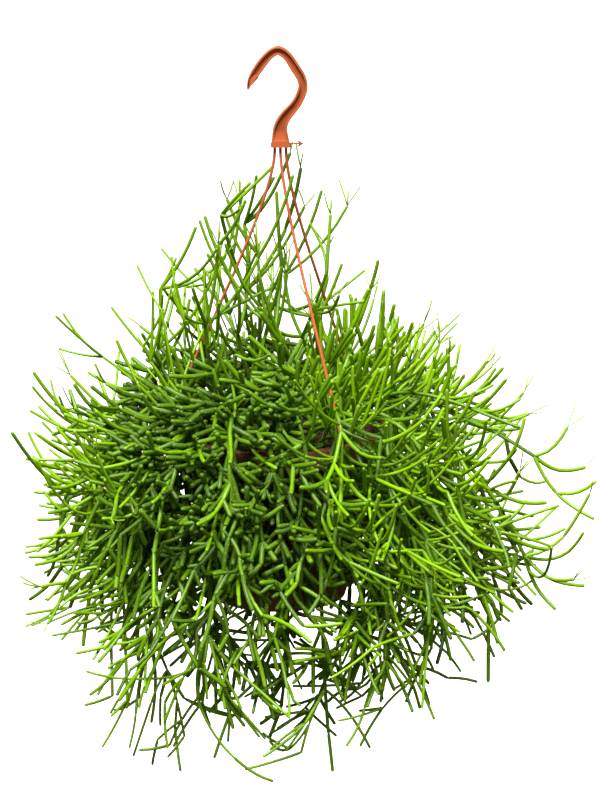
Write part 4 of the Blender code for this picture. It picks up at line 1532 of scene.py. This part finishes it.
def moulded_plastic(name, settings, dust, web=0.0, faded=1.0):
    """Semi-matt injection-moulded plastic: fine grain, scuffs, splashed soil, painted shade on the
    web, painted light.
    """
    material, shader, start = blank_material(name, Specular_IOR_Level=PLASTIC_GLOSS)
    place = start.node("TexCoord", output="Object")
    broad = place.grain(PLASTIC_BROAD, 3.0, 0.6)
    fine = place.grain(PLASTIC_FINE)
    scuffs = place.grain(PLASTIC_SCUFFS, 5.0, 0.7).ramp((0.55, 0), (0.75, 1))
    colour = broad.between(settings.colour, settings.worn_colour)
    # Painted light: faded brightens the whole colour, on the saucer only, so that it looks lit
    colour = colour.scaled((0.9 + 0.2 * fine) * faded)
    splash = place.grain(PLASTIC_SPLASHES, 6.0, 0.75).ramp((0.54, 0), (0.62, 1))
    colour = (splash * dust).between(colour, settings.dust_colour)
    # Painted shade: the hook's recessed web is darkened where its rims shade it
    if web:  # darkest within 2 mm of the middle of the hook's thickness
        depth = start.node("Math", {"operation": "ABSOLUTE"}, {0: place.part("Y")}) * 100
        colour = colour.scaled(1 - web * depth.ramp((0.2, 1), (0.37, 0)))
    feed(shader, Base_Color=colour, Roughness=0.36 + 0.2 * scuffs + 0.25 * splash,
         Normal=(fine + 0.4 * scuffs).relief(0.12, PLASTIC_RELIEF))
    return material


def soil_grain(name, settings):
    """Dark fibrous mix with paler bark."""
    material, shader, start = blank_material(name, Specular_IOR_Level=SOIL_GLOSS)
    place = start.node("TexCoord", output="Object")
    clumps = place.grain(SOIL_CLUMPS, 5.0, 0.7)
    fine = place.grain(SOIL_FINE, 4.0, 0.7)
    bark = clumps.ramp((0.35, 0), (0.7, 1))
    colour = bark.between(settings.wet_colour, settings.dry_colour).scaled(0.6 + 0.8 * fine)
    feed(shader, Base_Color=colour, Roughness=0.8 + 0.2 * fine,
         Normal=(clumps + 0.5 * fine).relief(0.7, SOIL_RELIEF))
    return material


def rounded(profile, radius):
    """A profile of (r, z) corners with every corner rounded off."""
    corners = [Vector(corner) for corner in profile]
    out = []
    for i, corner in enumerate(corners):
        before, after = corners[i - 1], corners[(i + 1) % len(corners)]
        back, on = before - corner, after - corner
        cut = min(radius, back.length * CORNER_SHARE, on.length * CORNER_SHARE)
        start, end = corner + back.normalized() * cut, corner + on.normalized() * cut
        for k in range(CORNER_STEPS + 1):
            t = k / CORNER_STEPS
            out.append(tuple(start * (1 - t) ** 2 + corner * 2 * t * (1 - t) + end * t * t))
    return out


def add_turned(bm, profile, sides):
    """Adds a solid of revolution about Z, of a closed profile or one that ends on Z twice."""
    hollow = min(radius for radius, _ in profile) > 0
    corners = [bm.verts.new((radius, 0, z)) for radius, z in profile]
    ends = corners[1:] + corners[:1] if hollow else corners[1:]
    edges = [bm.edges.new(pair) for pair in zip(corners, ends)]
    bmesh.ops.spin(bm, geom=corners + edges, axis=UP, angle=2 * math.pi, steps=sides,
                   use_merge=True)
    bmesh.ops.remove_doubles(bm, verts=bm.verts, dist=MERGE_DISTANCE)
    bmesh.ops.recalc_face_normals(bm, faces=bm.faces)


def join_rings(bm, rings):
    """Adds the faces between rings of corners."""
    for low, high in zip(rings, rings[1:]):
        for k in range(len(low)):
            bm.faces.new((low[k - 1], low[k], high[k], high[k - 1]))


def add_tube(bm, points, radii, sides):
    """Adds a closed tube along points."""
    tangent = (points[1] - points[0]).normalized()
    across = tangent.orthogonal().normalized()
    rings = []
    for i, (point, radius) in enumerate(zip(points, radii)):
        ahead = (points[i + 1] - point).normalized() if i + 1 < len(points) else tangent
        tangent = (tangent + ahead).normalized()
        across = (across - tangent * across.dot(tangent)).normalized()
        over = tangent.cross(across)
        turns = [2 * math.pi * k / sides for k in range(sides)]
        rings.append([
            bm.verts.new(point + (across * math.cos(turn) + over * math.sin(turn)) * radius)
            for turn in turns])
        tangent = ahead
    join_rings(bm, rings)
    bm.faces.new(reversed(rings[0]))
    bm.faces.new(rings[-1])


def smoothed(mesh, sharp=SHARP_ANGLE):
    """Makes a mesh smooth but for its sharp edges."""
    mesh.shade_smooth()
    mesh.set_sharp_from_angle(angle=math.radians(sharp))
    return mesh


def mesh_from(bm, name, sharp=SHARP_ANGLE):
    """Turns a bmesh into a mesh."""
    mesh = bpy.data.meshes.new(name)
    bm.to_mesh(mesh)
    bm.free()
    return smoothed(mesh, sharp)


def cut_away(mesh, tools, operation="DIFFERENCE"):
    """Cuts closed bmeshes out of a mesh, or joins them to it, with one exact Boolean."""
    piece = bpy.data.objects.new(mesh.name, mesh)
    bpy.context.scene.collection.objects.link(piece)
    group = bpy.data.collections.new("tools")
    bpy.context.scene.collection.children.link(group)
    for bm in tools:
        group.objects.link(bpy.data.objects.new("tool", mesh_from(bm, "tool")))
    modifier = piece.modifiers.new("Cut", "BOOLEAN")
    modifier.operation = operation
    modifier.operand_type = "COLLECTION"
    modifier.collection = group
    modifier.solver = "EXACT"
    settled = piece.evaluated_get(bpy.context.evaluated_depsgraph_get())
    result = bpy.data.meshes.new_from_object(settled)
    for tool in list(group.objects):
        bpy.data.objects.remove(tool)
    bpy.data.collections.remove(group)
    bpy.data.objects.remove(piece)
    return smoothed(result)


def post(x, y, low, high, radius):
    """A plain upright cylinder as a bmesh."""
    bm = bmesh.new()
    add_tube(bm, [Vector((x, y, low)), Vector((x, y, high))], [radius, radius], POST_SIDES)
    return bm


def prism(outline, half_depth):
    """An outline of (x, z) corners, extruded both ways along Y, as a bmesh."""
    bm = bmesh.new()
    near, far = [[bm.verts.new((x, y, z)) for x, z in outline]
                 for y in (-half_depth, half_depth)]
    bm.faces.new(near)
    bm.faces.new(reversed(far))
    for i in range(len(outline)):
        bm.faces.new((near[i - 1], far[i - 1], far[i], near[i]))
    return bm


def pot_mesh():
    """The pot with rounded edges, strand holes in its flange and drain holes in its floor."""
    collar_foot = RIM_TOP - COLLAR_HEIGHT
    flange_foot = RIM_TOP - FLANGE
    hole = STUD_RADIUS + GAP
    profile = rounded([
        (hole, FOOT_Z),
        (FOOT_RADIUS, FOOT_Z),
        (FOOT_RADIUS + DRAFT, STEP_Z),
        (WALL_FOOT_RADIUS, STEP_Z),
        (WALL_TOP_RADIUS, flange_foot),
        (RIM_RADIUS - WALL, flange_foot),
        (RIM_RADIUS - WALL, collar_foot),
        (RIM_RADIUS, collar_foot),
        (RIM_RADIUS, RIM_TOP),
        (WALL_TOP_RADIUS - WALL, RIM_TOP),
        (WALL_FOOT_RADIUS - WALL, STEP_Z + FLOOR),
        (FOOT_RADIUS - WALL, STEP_Z + FLOOR),
        (FOOT_RADIUS - WALL, FOOT_Z + FLOOR),
        (hole, FOOT_Z + FLOOR),
    ], POT_EDGE)
    bm = bmesh.new()
    add_turned(bm, profile, POT_SIDES)
    tools = []
    for i in range(DRAIN_COUNT):
        x, y, _ = polar(DRAIN_RING_RADIUS, i * 360 / DRAIN_COUNT, 0)
        tools.append(post(x, y, FOOT_Z - FLOOR, FOOT_Z + 2 * FLOOR, DRAIN_RADIUS))
    for azimuth, _ in STRANDS.values():
        x, y, _ = polar(STRAND_RING_RADIUS, azimuth, 0)
        tools.append(post(x, y, flange_foot - FLANGE, RIM_TOP + FLANGE, STRAND_RADIUS + GAP))
    return cut_away(mesh_from(bm, "pot"), tools)


def saucer_mesh():
    """The saucer with rounded edges and its shouldered stud."""
    rim_z = STEP_Z - SAUCER_RIM_GAP
    shoulder_z = FOOT_Z - GAP
    head_z = FOOT_Z + FLOOR + GAP
    outline = rounded([  # without the halves of the end corners that face the middle
        (STUD_CENTRE, SAUCER_BASE_Z),
        (SAUCER_FOOT_RADIUS, SAUCER_BASE_Z),
        (SAUCER_RIM_RADIUS, rim_z),
        (SAUCER_RIM_RADIUS - SAUCER_WALL, rim_z),
        (SAUCER_FOOT_RADIUS - SAUCER_WALL, SAUCER_BASE_Z + SAUCER_WALL),
        (STUD_SHOULDER_RADIUS, SAUCER_BASE_Z + SAUCER_WALL),
        (STUD_SHOULDER_RADIUS, shoulder_z),
        (STUD_RADIUS, shoulder_z),
        (STUD_RADIUS, head_z),
        (STUD_HEAD_RADIUS, head_z),
        (STUD_RADIUS, head_z + STUD_HEAD_HEIGHT),
        (STUD_CENTRE, head_z + STUD_HEAD_HEIGHT),
    ], SAUCER_EDGE)[2:-2]
    profile = [(0, SAUCER_BASE_Z)] + outline + [(0, head_z + STUD_HEAD_HEIGHT)]
    bm = bmesh.new()
    add_turned(bm, profile, POT_SIDES)
    return mesh_from(bm, "saucer")


def lump(bm, rng, spot, size, squash):
    """Adds one crumb: a small ball pushed out of shape."""
    made = bmesh.ops.create_icosphere(bm, subdivisions=1, radius=size)["verts"]
    turn = Quaternion(shaken(rng, 1).normalized(), rng.uniform(0, math.pi))
    for vert in made:
        x, y, z = vert.co
        stretched = Vector((x * rng.uniform(*CRUMB_STRETCH), y, z * squash))
        vert.co = spot + turn @ (stretched * rng.uniform(*CRUMB_ROUGHNESS))


def mix_mesh(settings):
    """The top of the potting mix: an uneven bed with crumbs of bark and perlite."""
    rng = random.Random(PLANT_SEED + 2)
    inner = WALL_TOP_RADIUS - WALL
    inner -= SOIL_DROP * (WALL_TOP_RADIUS - WALL_FOOT_RADIUS) / (RIM_TOP - STEP_Z)
    inner -= SOIL_WALL_GAP
    foot = FOOT_Z + FLOOR + SOIL_FOOT_GAP
    step = STEP_Z + FLOOR + SOIL_STEP_GAP
    foot_radius = FOOT_RADIUS - WALL - SOIL_STEP_GAP
    profile = [(0, foot), (foot_radius, foot), (foot_radius, step),
               (WALL_FOOT_RADIUS - WALL - SOIL_STEP_GAP, step)]
    for i in range(SOIL_RINGS):
        share = i / SOIL_RINGS
        height = SOIL_MOUND * math.sin(math.pi / 2 * i / SOIL_RINGS)
        profile.append((inner * (1 - share), SOIL_TOP_Z + height))
    profile.append((0, SOIL_TOP_Z + SOIL_MOUND))
    bm = bmesh.new()
    add_turned(bm, profile, SOIL_SIDES)
    for vert in bm.verts:
        if vert.co.z > SOIL_TOP_Z - SOIL_EDGE_DEPTH:
            vert.co.z += sum(noise.noise(vert.co * scale) * size for scale, size in SOIL_LUMPS)
    for i in range(settings.crumbs):
        radius = (inner - CRUMB_INSET) * math.sqrt(rng.random())
        spot = polar(radius, rng.uniform(0, 360), 0)
        mound = SOIL_MOUND * math.cos(math.pi / 2 * (radius / inner))
        spot.z = SOIL_TOP_Z + mound + noise.noise(spot * SOIL_LUMPS[0][0]) * CRUMB_LIFT_MM * MM
        lump(bm, rng, spot, rng.uniform(*CRUMB_RADIUS_MM) * MM, rng.uniform(*CRUMB_SQUASH))
    for face in bm.faces:
        face.smooth = True
    return mesh_from(bm, "potting_mix", SOIL_SHARP_ANGLE)


def hook_section(half_width, recess):
    """The (across, y) corners of the hook's H section: a web between two rounded edges."""
    edge = min(HOOK_EDGE, half_width * CORNER_SHARE)
    half = HOOK_THICKNESS / 2
    soft = min(HOOK_ROUNDING, edge * HOOK_ROUNDING_SHARE)
    inner = half_width - edge
    spots = ((half_width, half), (inner, half), (inner, half - recess))
    quarter = [(x + u * soft, y + v * soft)
               for (x, y), corners in zip(spots, HOOK_CORNERS) for u, v in corners]
    right = [(x, -y) for x, y in reversed(quarter)] + quarter
    return right + [(-x, -y) for x, y in right]


def hook_mesh():
    """The hook with its rounded edges, its bar with three sockets, and the empty label barb."""
    rows = smooth_line([Vector(row) for row in HOOK_SPINE], HOOK_STEPS)
    bm = bmesh.new()
    rings = []
    for i, row in enumerate(rows):
        after, before = rows[min(i + 1, len(rows) - 1)], rows[max(i - 1, 0)]
        along = Vector((after.x - before.x, 0, after.y - before.y)).normalized()
        across = Vector((-along.z, 0, along.x))
        depth = min(1, i / HOOK_RECESS_FADES[0], (len(rows) - 1 - i) / HOOK_RECESS_FADES[1])
        recess = (HOOK_RECESS_LEAST + (1 - HOOK_RECESS_LEAST) * depth) * HOOK_RECESS
        centre = Vector((row.x, 0, row.y)) * MM
        section = hook_section(row.z * MM, recess)
        rings.append([bm.verts.new(centre + across * u + Vector((0, v, 0))) for u, v in section])
    join_rings(bm, rings)
    bm.faces.new(rings[0])
    bm.faces.new(rings[-1])
    bmesh.ops.recalc_face_normals(bm, faces=bm.faces)
    left, right = HOOK_BASE_X - HOOK_BASE_WIDTH / 2, HOOK_BASE_X + HOOK_BASE_WIDTH / 2
    foot_top = HOOK_BASE_BOTTOM_Z + HOOK_BAR_FOOT
    bar = prism(rounded([
        (left, HOOK_BASE_BOTTOM_Z),
        (right, HOOK_BASE_BOTTOM_Z),
        (right, foot_top),
        (right - HOOK_BAR_TAPER, HOOK_BASE_TOP_Z),
        (left + HOOK_BAR_TAPER, HOOK_BASE_TOP_Z),
        (left, foot_top),
    ], HOOK_BAR_EDGE), HOOK_BASE_DEPTH / 2)
    middle = (HOOK_BASE_BOTTOM_Z + HOOK_BASE_TOP_Z) / 2
    barb = prism([(right + x * MM, middle + z * MM) for x, z in LABEL_BARB], LABEL_BARB_HALF)
    corners = rounded([(x * MM, z * MM) for x, z in HOOK_POINT], HOOK_POINT_EDGE)
    point = prism(corners, HOOK_POINT_DEPTH / 2)
    hook = cut_away(mesh_from(bm, "hanger_hook"), [bar, barb, point], "UNION")
    low, high = HOOK_BASE_BOTTOM_Z - SOCKET_DEPTH, HOOK_BASE_BOTTOM_Z + SOCKET_DEPTH
    return cut_away(hook, [post(HOOK_BASE_X + offset, 0, low, high, STRAND_RADIUS + GAP)
                           for _, offset in STRANDS.values()])


def strand_mesh(name, azimuth, offset):
    """A strand with the stop that sits on the rim and the barb under it."""
    line = strand_line(azimuth, offset, STRAND_STEPS)
    top = line[0] + UP * (HOOK_BASE_BOTTOM_Z + SOCKET_DEPTH - GAP - line[0].z)
    foot = polar(STRAND_RING_RADIUS, azimuth, RIM_TOP - FLANGE - GAP)
    stop = polar(STRAND_RING_RADIUS, azimuth, RIM_TOP + GAP)
    points, radii = [top] + line, [STRAND_RADIUS] * (1 + len(line))
    for place, sections in ((stop, STOP_SECTIONS), (foot, BARB_SECTIONS)):
        points += [place + UP * height * MM for height, _ in sections]
        radii += [radius for _, radius in sections]
    bm = bmesh.new()
    add_tube(bm, points, radii, STRAND_SIDES)
    return mesh_from(bm, name, STRAND_SHARP_ANGLE)


def colour_setting(name, description, default):
    """A colour that a user can change."""
    return FloatVectorProperty(name=name, description=description, subtype="COLOR", min=0, max=1,
                               default=default)


def distance_setting(name, description, default, least=0.0):
    """A distance that a user can change."""
    return FloatProperty(name=name, description=description, subtype="DISTANCE", unit="LENGTH",
                         min=least, default=default)


def power_setting(name, description, default):
    """The power of a lamp, which a user can change."""
    return FloatProperty(name=name, description=description, subtype="POWER", unit="POWER",
                         min=0, default=default)


class StemSettings(bpy.types.PropertyGroup):
    """Colours of the stems, from the newest growth to the oldest joints."""
    new_colour: colour_setting(
        "New growth", "Colour of whiskers and of the newest tips", (0.3, 0.5, 0.015))
    young_colour: colour_setting(
        "Young joints", "Colour of the long thin joints in the light", (0.225, 0.45, 0.0))
    middle_colour: colour_setting(
        "Grown joints", "Colour of joints that are one or two years old", (0.135, 0.295, 0.0))
    old_colour: colour_setting(
        "Old joints", "Colour of the thick joints at the heart of the plant", (0.058, 0.132, 0.004))
    areole_colour: colour_setting(
        "Areoles", "Colour of the small pale spots where buds sit", (0.55, 0.55, 0.34))
    bud_colour: colour_setting(
        "Dry buds", "Colour of the dry buds at some old tips", (0.62, 0.42, 0.24))
    scar_colour: colour_setting("Scars", "Colour of corky marks on the skin", (0.30, 0.18, 0.06))


class PlasticSettings(bpy.types.PropertyGroup):
    """Colours of the moulded pot and saucer."""
    colour: colour_setting("Plastic", "Colour of the pot and the saucer", (0.15, 0.045, 0.024))
    worn_colour: colour_setting(
        "Faded plastic", "Colour where the light has faded the pot", (0.21, 0.075, 0.042))
    dust_colour: colour_setting(
        "Splashes", "Colour of the mix splashed on the pot", (0.36, 0.2, 0.13))


class HangerSettings(bpy.types.PropertyGroup):
    """Colours of the hook and its strands."""
    colour: colour_setting("Plastic", "Colour of the hanger", (0.50, 0.10, 0.024))
    worn_colour: colour_setting(
        "Faded plastic", "Colour where the light has faded the hanger", (0.58, 0.145, 0.05))
    dust_colour: colour_setting("Dust", "Colour of dust on the hanger", (0.45, 0.17, 0.1))


class MixSettings(bpy.types.PropertyGroup):
    """Number of crumbs and colours of the potting mix."""
    crumbs: IntProperty(
        name="Crumbs", description="Number of crumbs on top of the mix", min=0, max=2000,
        default=520)
    wet_colour: colour_setting("Damp mix", "Colour of the damp mix", (0.018, 0.011, 0.007))
    dry_colour: colour_setting("Dry bark", "Colour of dry crumbs of bark", (0.11, 0.062, 0.035))


class StageSettings(bpy.types.PropertyGroup):
    """Floor, light and camera."""
    floor_drop: distance_setting(
        "Floor below the plant", "How far the floor lies below the lowest stem", 0.45)
    floor_colour: colour_setting("Floor", "Colour of the floor", (0.9, 0.9, 0.9))
    key_strength: FloatProperty(
        name="Key light", description="Strength of the soft light from above", min=0, default=7.7)
    fill_power: power_setting("Fill light", "Power of the weak light from the front right", 5)
    back_power: power_setting("Back light", "Power of the soft light from behind", 22)
    camera_distance: distance_setting(
        "Camera distance", "Distance from the camera to the middle of the picture", 3.0, 0.1)
    camera_elevation: FloatProperty(
        name="Camera elevation", description="How far the camera looks down",
        subtype="ANGLE", unit="ROTATION", default=math.radians(14))
    picture_height: distance_setting(
        "Picture height", "Height that the picture takes in at the pot", 0.696, 0.1)
    picture_middle: FloatVectorProperty(
        name="Picture middle", description="Point in the middle of the picture",
        subtype="TRANSLATION", unit="LENGTH", default=(0.01914, 0, -0.3019))


def aim(scene, name, data, place, heading):
    """Puts a lamp or a camera at a place, turned along heading."""
    piece = bpy.data.objects.new(name, data)
    piece.location = place
    piece.rotation_euler = heading.to_track_quat("-Z", "Y").to_euler()
    scene.collection.objects.link(piece)
    return piece


class OBJECT_OT_rhipsalis_pot(bpy.types.Operator):
    """Build the pot and its saucer"""
    bl_idname = "object.rhipsalis_pot"
    bl_label = "Pot and saucer"

    def execute(self, context):
        settings = context.scene.rhipsalis_pot
        plastic = moulded_plastic("pot_plastic", settings, dust=POT_DUST)
        shown("pot", pot_mesh(), plastic)
        # The saucer's plastic is brightened and more splashed: partly dust, partly painted light
        dust_and_painted_light = moulded_plastic("saucer_plastic", settings, dust=SAUCER_DUST_AND_PAINTED_LIGHT,
                                faded=SAUCER_PAINTED_LIGHT)
        shown("saucer", saucer_mesh(), dust_and_painted_light)
        return {"FINISHED"}


class OBJECT_OT_rhipsalis_mix(bpy.types.Operator):
    """Fill the pot with mix"""
    bl_idname = "object.rhipsalis_mix"
    bl_label = "Potting mix"

    def execute(self, context):
        settings = context.scene.rhipsalis_mix
        shown("potting_mix", mix_mesh(settings), soil_grain("mix", settings))
        return {"FINISHED"}


class OBJECT_OT_rhipsalis_hanger(bpy.types.Operator):
    """Build the hook and its three strands"""
    bl_idname = "object.rhipsalis_hanger"
    bl_label = "Hanger"

    def execute(self, context):
        settings = context.scene.rhipsalis_hanger
        # The hook's plastic carries a painted shade on its recessed web
        web_shaded = moulded_plastic("hook_plastic", settings, dust=HANGER_DUST, web=HOOK_WEB_SHADE)
        shown("hanger_hook", hook_mesh(), web_shaded)
        plastic = moulded_plastic("hanger_plastic", settings, dust=HANGER_DUST)
        for name, (azimuth, offset) in STRANDS.items():
            shown(name, strand_mesh(name, azimuth, offset), plastic)
        return {"FINISHED"}


class OBJECT_OT_rhipsalis_stems(bpy.types.Operator):
    """Grow every joint of the plant on the frame's stems"""
    bl_idname = "object.rhipsalis_stems"
    bl_label = "Stems"

    def execute(self, context):
        stems = grow_plant(Room(ROOM_MARGIN))
        check_stems(stems)
        grow_twigs(stems, Room(TWIG_MARGIN))
        skins = {slot: stem_skin(slot + "_skin", context.scene.rhipsalis_stems)
                 for slot in ("old_stem", "young_stem")}
        for stem in stems:
            old = stem.habit in ("crown", "trailing", "draping")
            slot = "old_stem" if old else "young_stem"
            shown(stem.name, stem_mesh(stem), skins[slot])
        return {"FINISHED"}


class OBJECT_OT_rhipsalis_stage(bpy.types.Operator):
    """Set up the floor, the light and the camera"""
    bl_idname = "object.rhipsalis_stage"
    bl_label = "Stage"

    def execute(self, context):
        settings = context.scene.rhipsalis_stage
        scene = context.scene
        low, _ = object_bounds()
        bm = bmesh.new()
        bmesh.ops.create_circle(bm, cap_ends=True, segments=FLOOR_SIDES,
                                radius=FLOOR_RADIUS)
        floor = bpy.data.objects.new("floor", mesh_from(bm, "floor"))
        floor.location.z = low.z - settings.floor_drop
        material, shader, _ = blank_material("floor", Roughness=FLOOR_ROUGHNESS)
        shader.inputs["Base Color"].default_value = (*settings.floor_colour, 1)
        floor.data.materials.append(material)
        floor.visible_diffuse = False
        floor.visible_glossy = False
        scene.collection.objects.link(floor)
        floor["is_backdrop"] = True
        world = bpy.data.worlds.new("soft_white")
        world.use_nodes = True
        background = world.node_tree.nodes["Background"]
        background.inputs["Color"].default_value = (1, 1, 1, 1)
        background.inputs["Strength"].default_value = SOFT_STRENGTH
        world.cycles_visibility.glossy = False
        scene.world = world
        key = bpy.data.lights.new("key", "SUN")
        key.energy = settings.key_strength
        key.angle = math.radians(KEY_SPREAD)
        aim(scene, "key", key, Vector(), KEY_HEADING)
        for name, place, watts in (("fill", FILL_PLACE, settings.fill_power),
                                   ("back", BACK_PLACE, settings.back_power)):
            light = bpy.data.lights.new(name, "AREA")
            light.energy = watts
            light.size = LAMP_SIZE
            aim(scene, name, light, place, BUSH_CENTRE - place)
        lens = bpy.data.cameras.new("camera")
        half = settings.picture_height / 2 / settings.camera_distance
        lens.lens = lens.sensor_width / 2 / half
        elevation = settings.camera_elevation
        back = Vector((0, -math.cos(elevation), math.sin(elevation)))
        place = Vector(settings.picture_middle) + back * settings.camera_distance
        scene.camera = aim(scene, "camera", lens, place, -back)
        scene.view_settings.view_transform = "Standard"
        return {"FINISHED"}


class VIEW3D_PT_rhipsalis(bpy.types.Panel):
    """Lists the pieces of the potted rhipsalis and their settings"""
    bl_idname = "VIEW3D_PT_rhipsalis"
    bl_label = "Potted rhipsalis"
    bl_space_type = "VIEW_3D"
    bl_region_type = "UI"
    bl_category = "Rhipsalis"

    def draw(self, context):
        for operator, group, name in STEPS:
            box = self.layout.box()
            box.operator(operator.bl_idname, text=operator.bl_label)
            for setting in group.__annotations__:
                box.prop(getattr(context.scene, name), setting)


# Each operator, its settings and their name in the scene, in the order of the work
STEPS = (
    (OBJECT_OT_rhipsalis_pot, PlasticSettings, "rhipsalis_pot"),
    (OBJECT_OT_rhipsalis_mix, MixSettings, "rhipsalis_mix"),
    (OBJECT_OT_rhipsalis_hanger, HangerSettings, "rhipsalis_hanger"),
    (OBJECT_OT_rhipsalis_stems, StemSettings, "rhipsalis_stems"),
    (OBJECT_OT_rhipsalis_stage, StageSettings, "rhipsalis_stage"),
)


def register():
    for operator, group, name in STEPS:
        bpy.utils.register_class(group)
        setattr(bpy.types.Scene, name, PointerProperty(type=group))
        bpy.utils.register_class(operator)
    bpy.utils.register_class(VIEW3D_PT_rhipsalis)


def unregister():
    bpy.utils.unregister_class(VIEW3D_PT_rhipsalis)
    for operator, group, name in reversed(STEPS):
        bpy.utils.unregister_class(operator)
        delattr(bpy.types.Scene, name)
        bpy.utils.unregister_class(group)


def clear_defaults():
    """Removes the objects that a new file starts with, but not the frame."""
    for piece in list(bpy.data.objects):
        if piece.type in ("CAMERA", "LIGHT") or piece.name == "Cube":
            bpy.data.objects.remove(piece)


def main():
    clear_defaults()
    register()
    bpy.ops.object.rhipsalis_pot()
    bpy.ops.object.rhipsalis_mix()
    bpy.ops.object.rhipsalis_hanger()
    bpy.ops.object.rhipsalis_stems()
    bpy.ops.object.rhipsalis_stage()
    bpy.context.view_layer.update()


if __name__ == "__main__":
    main()
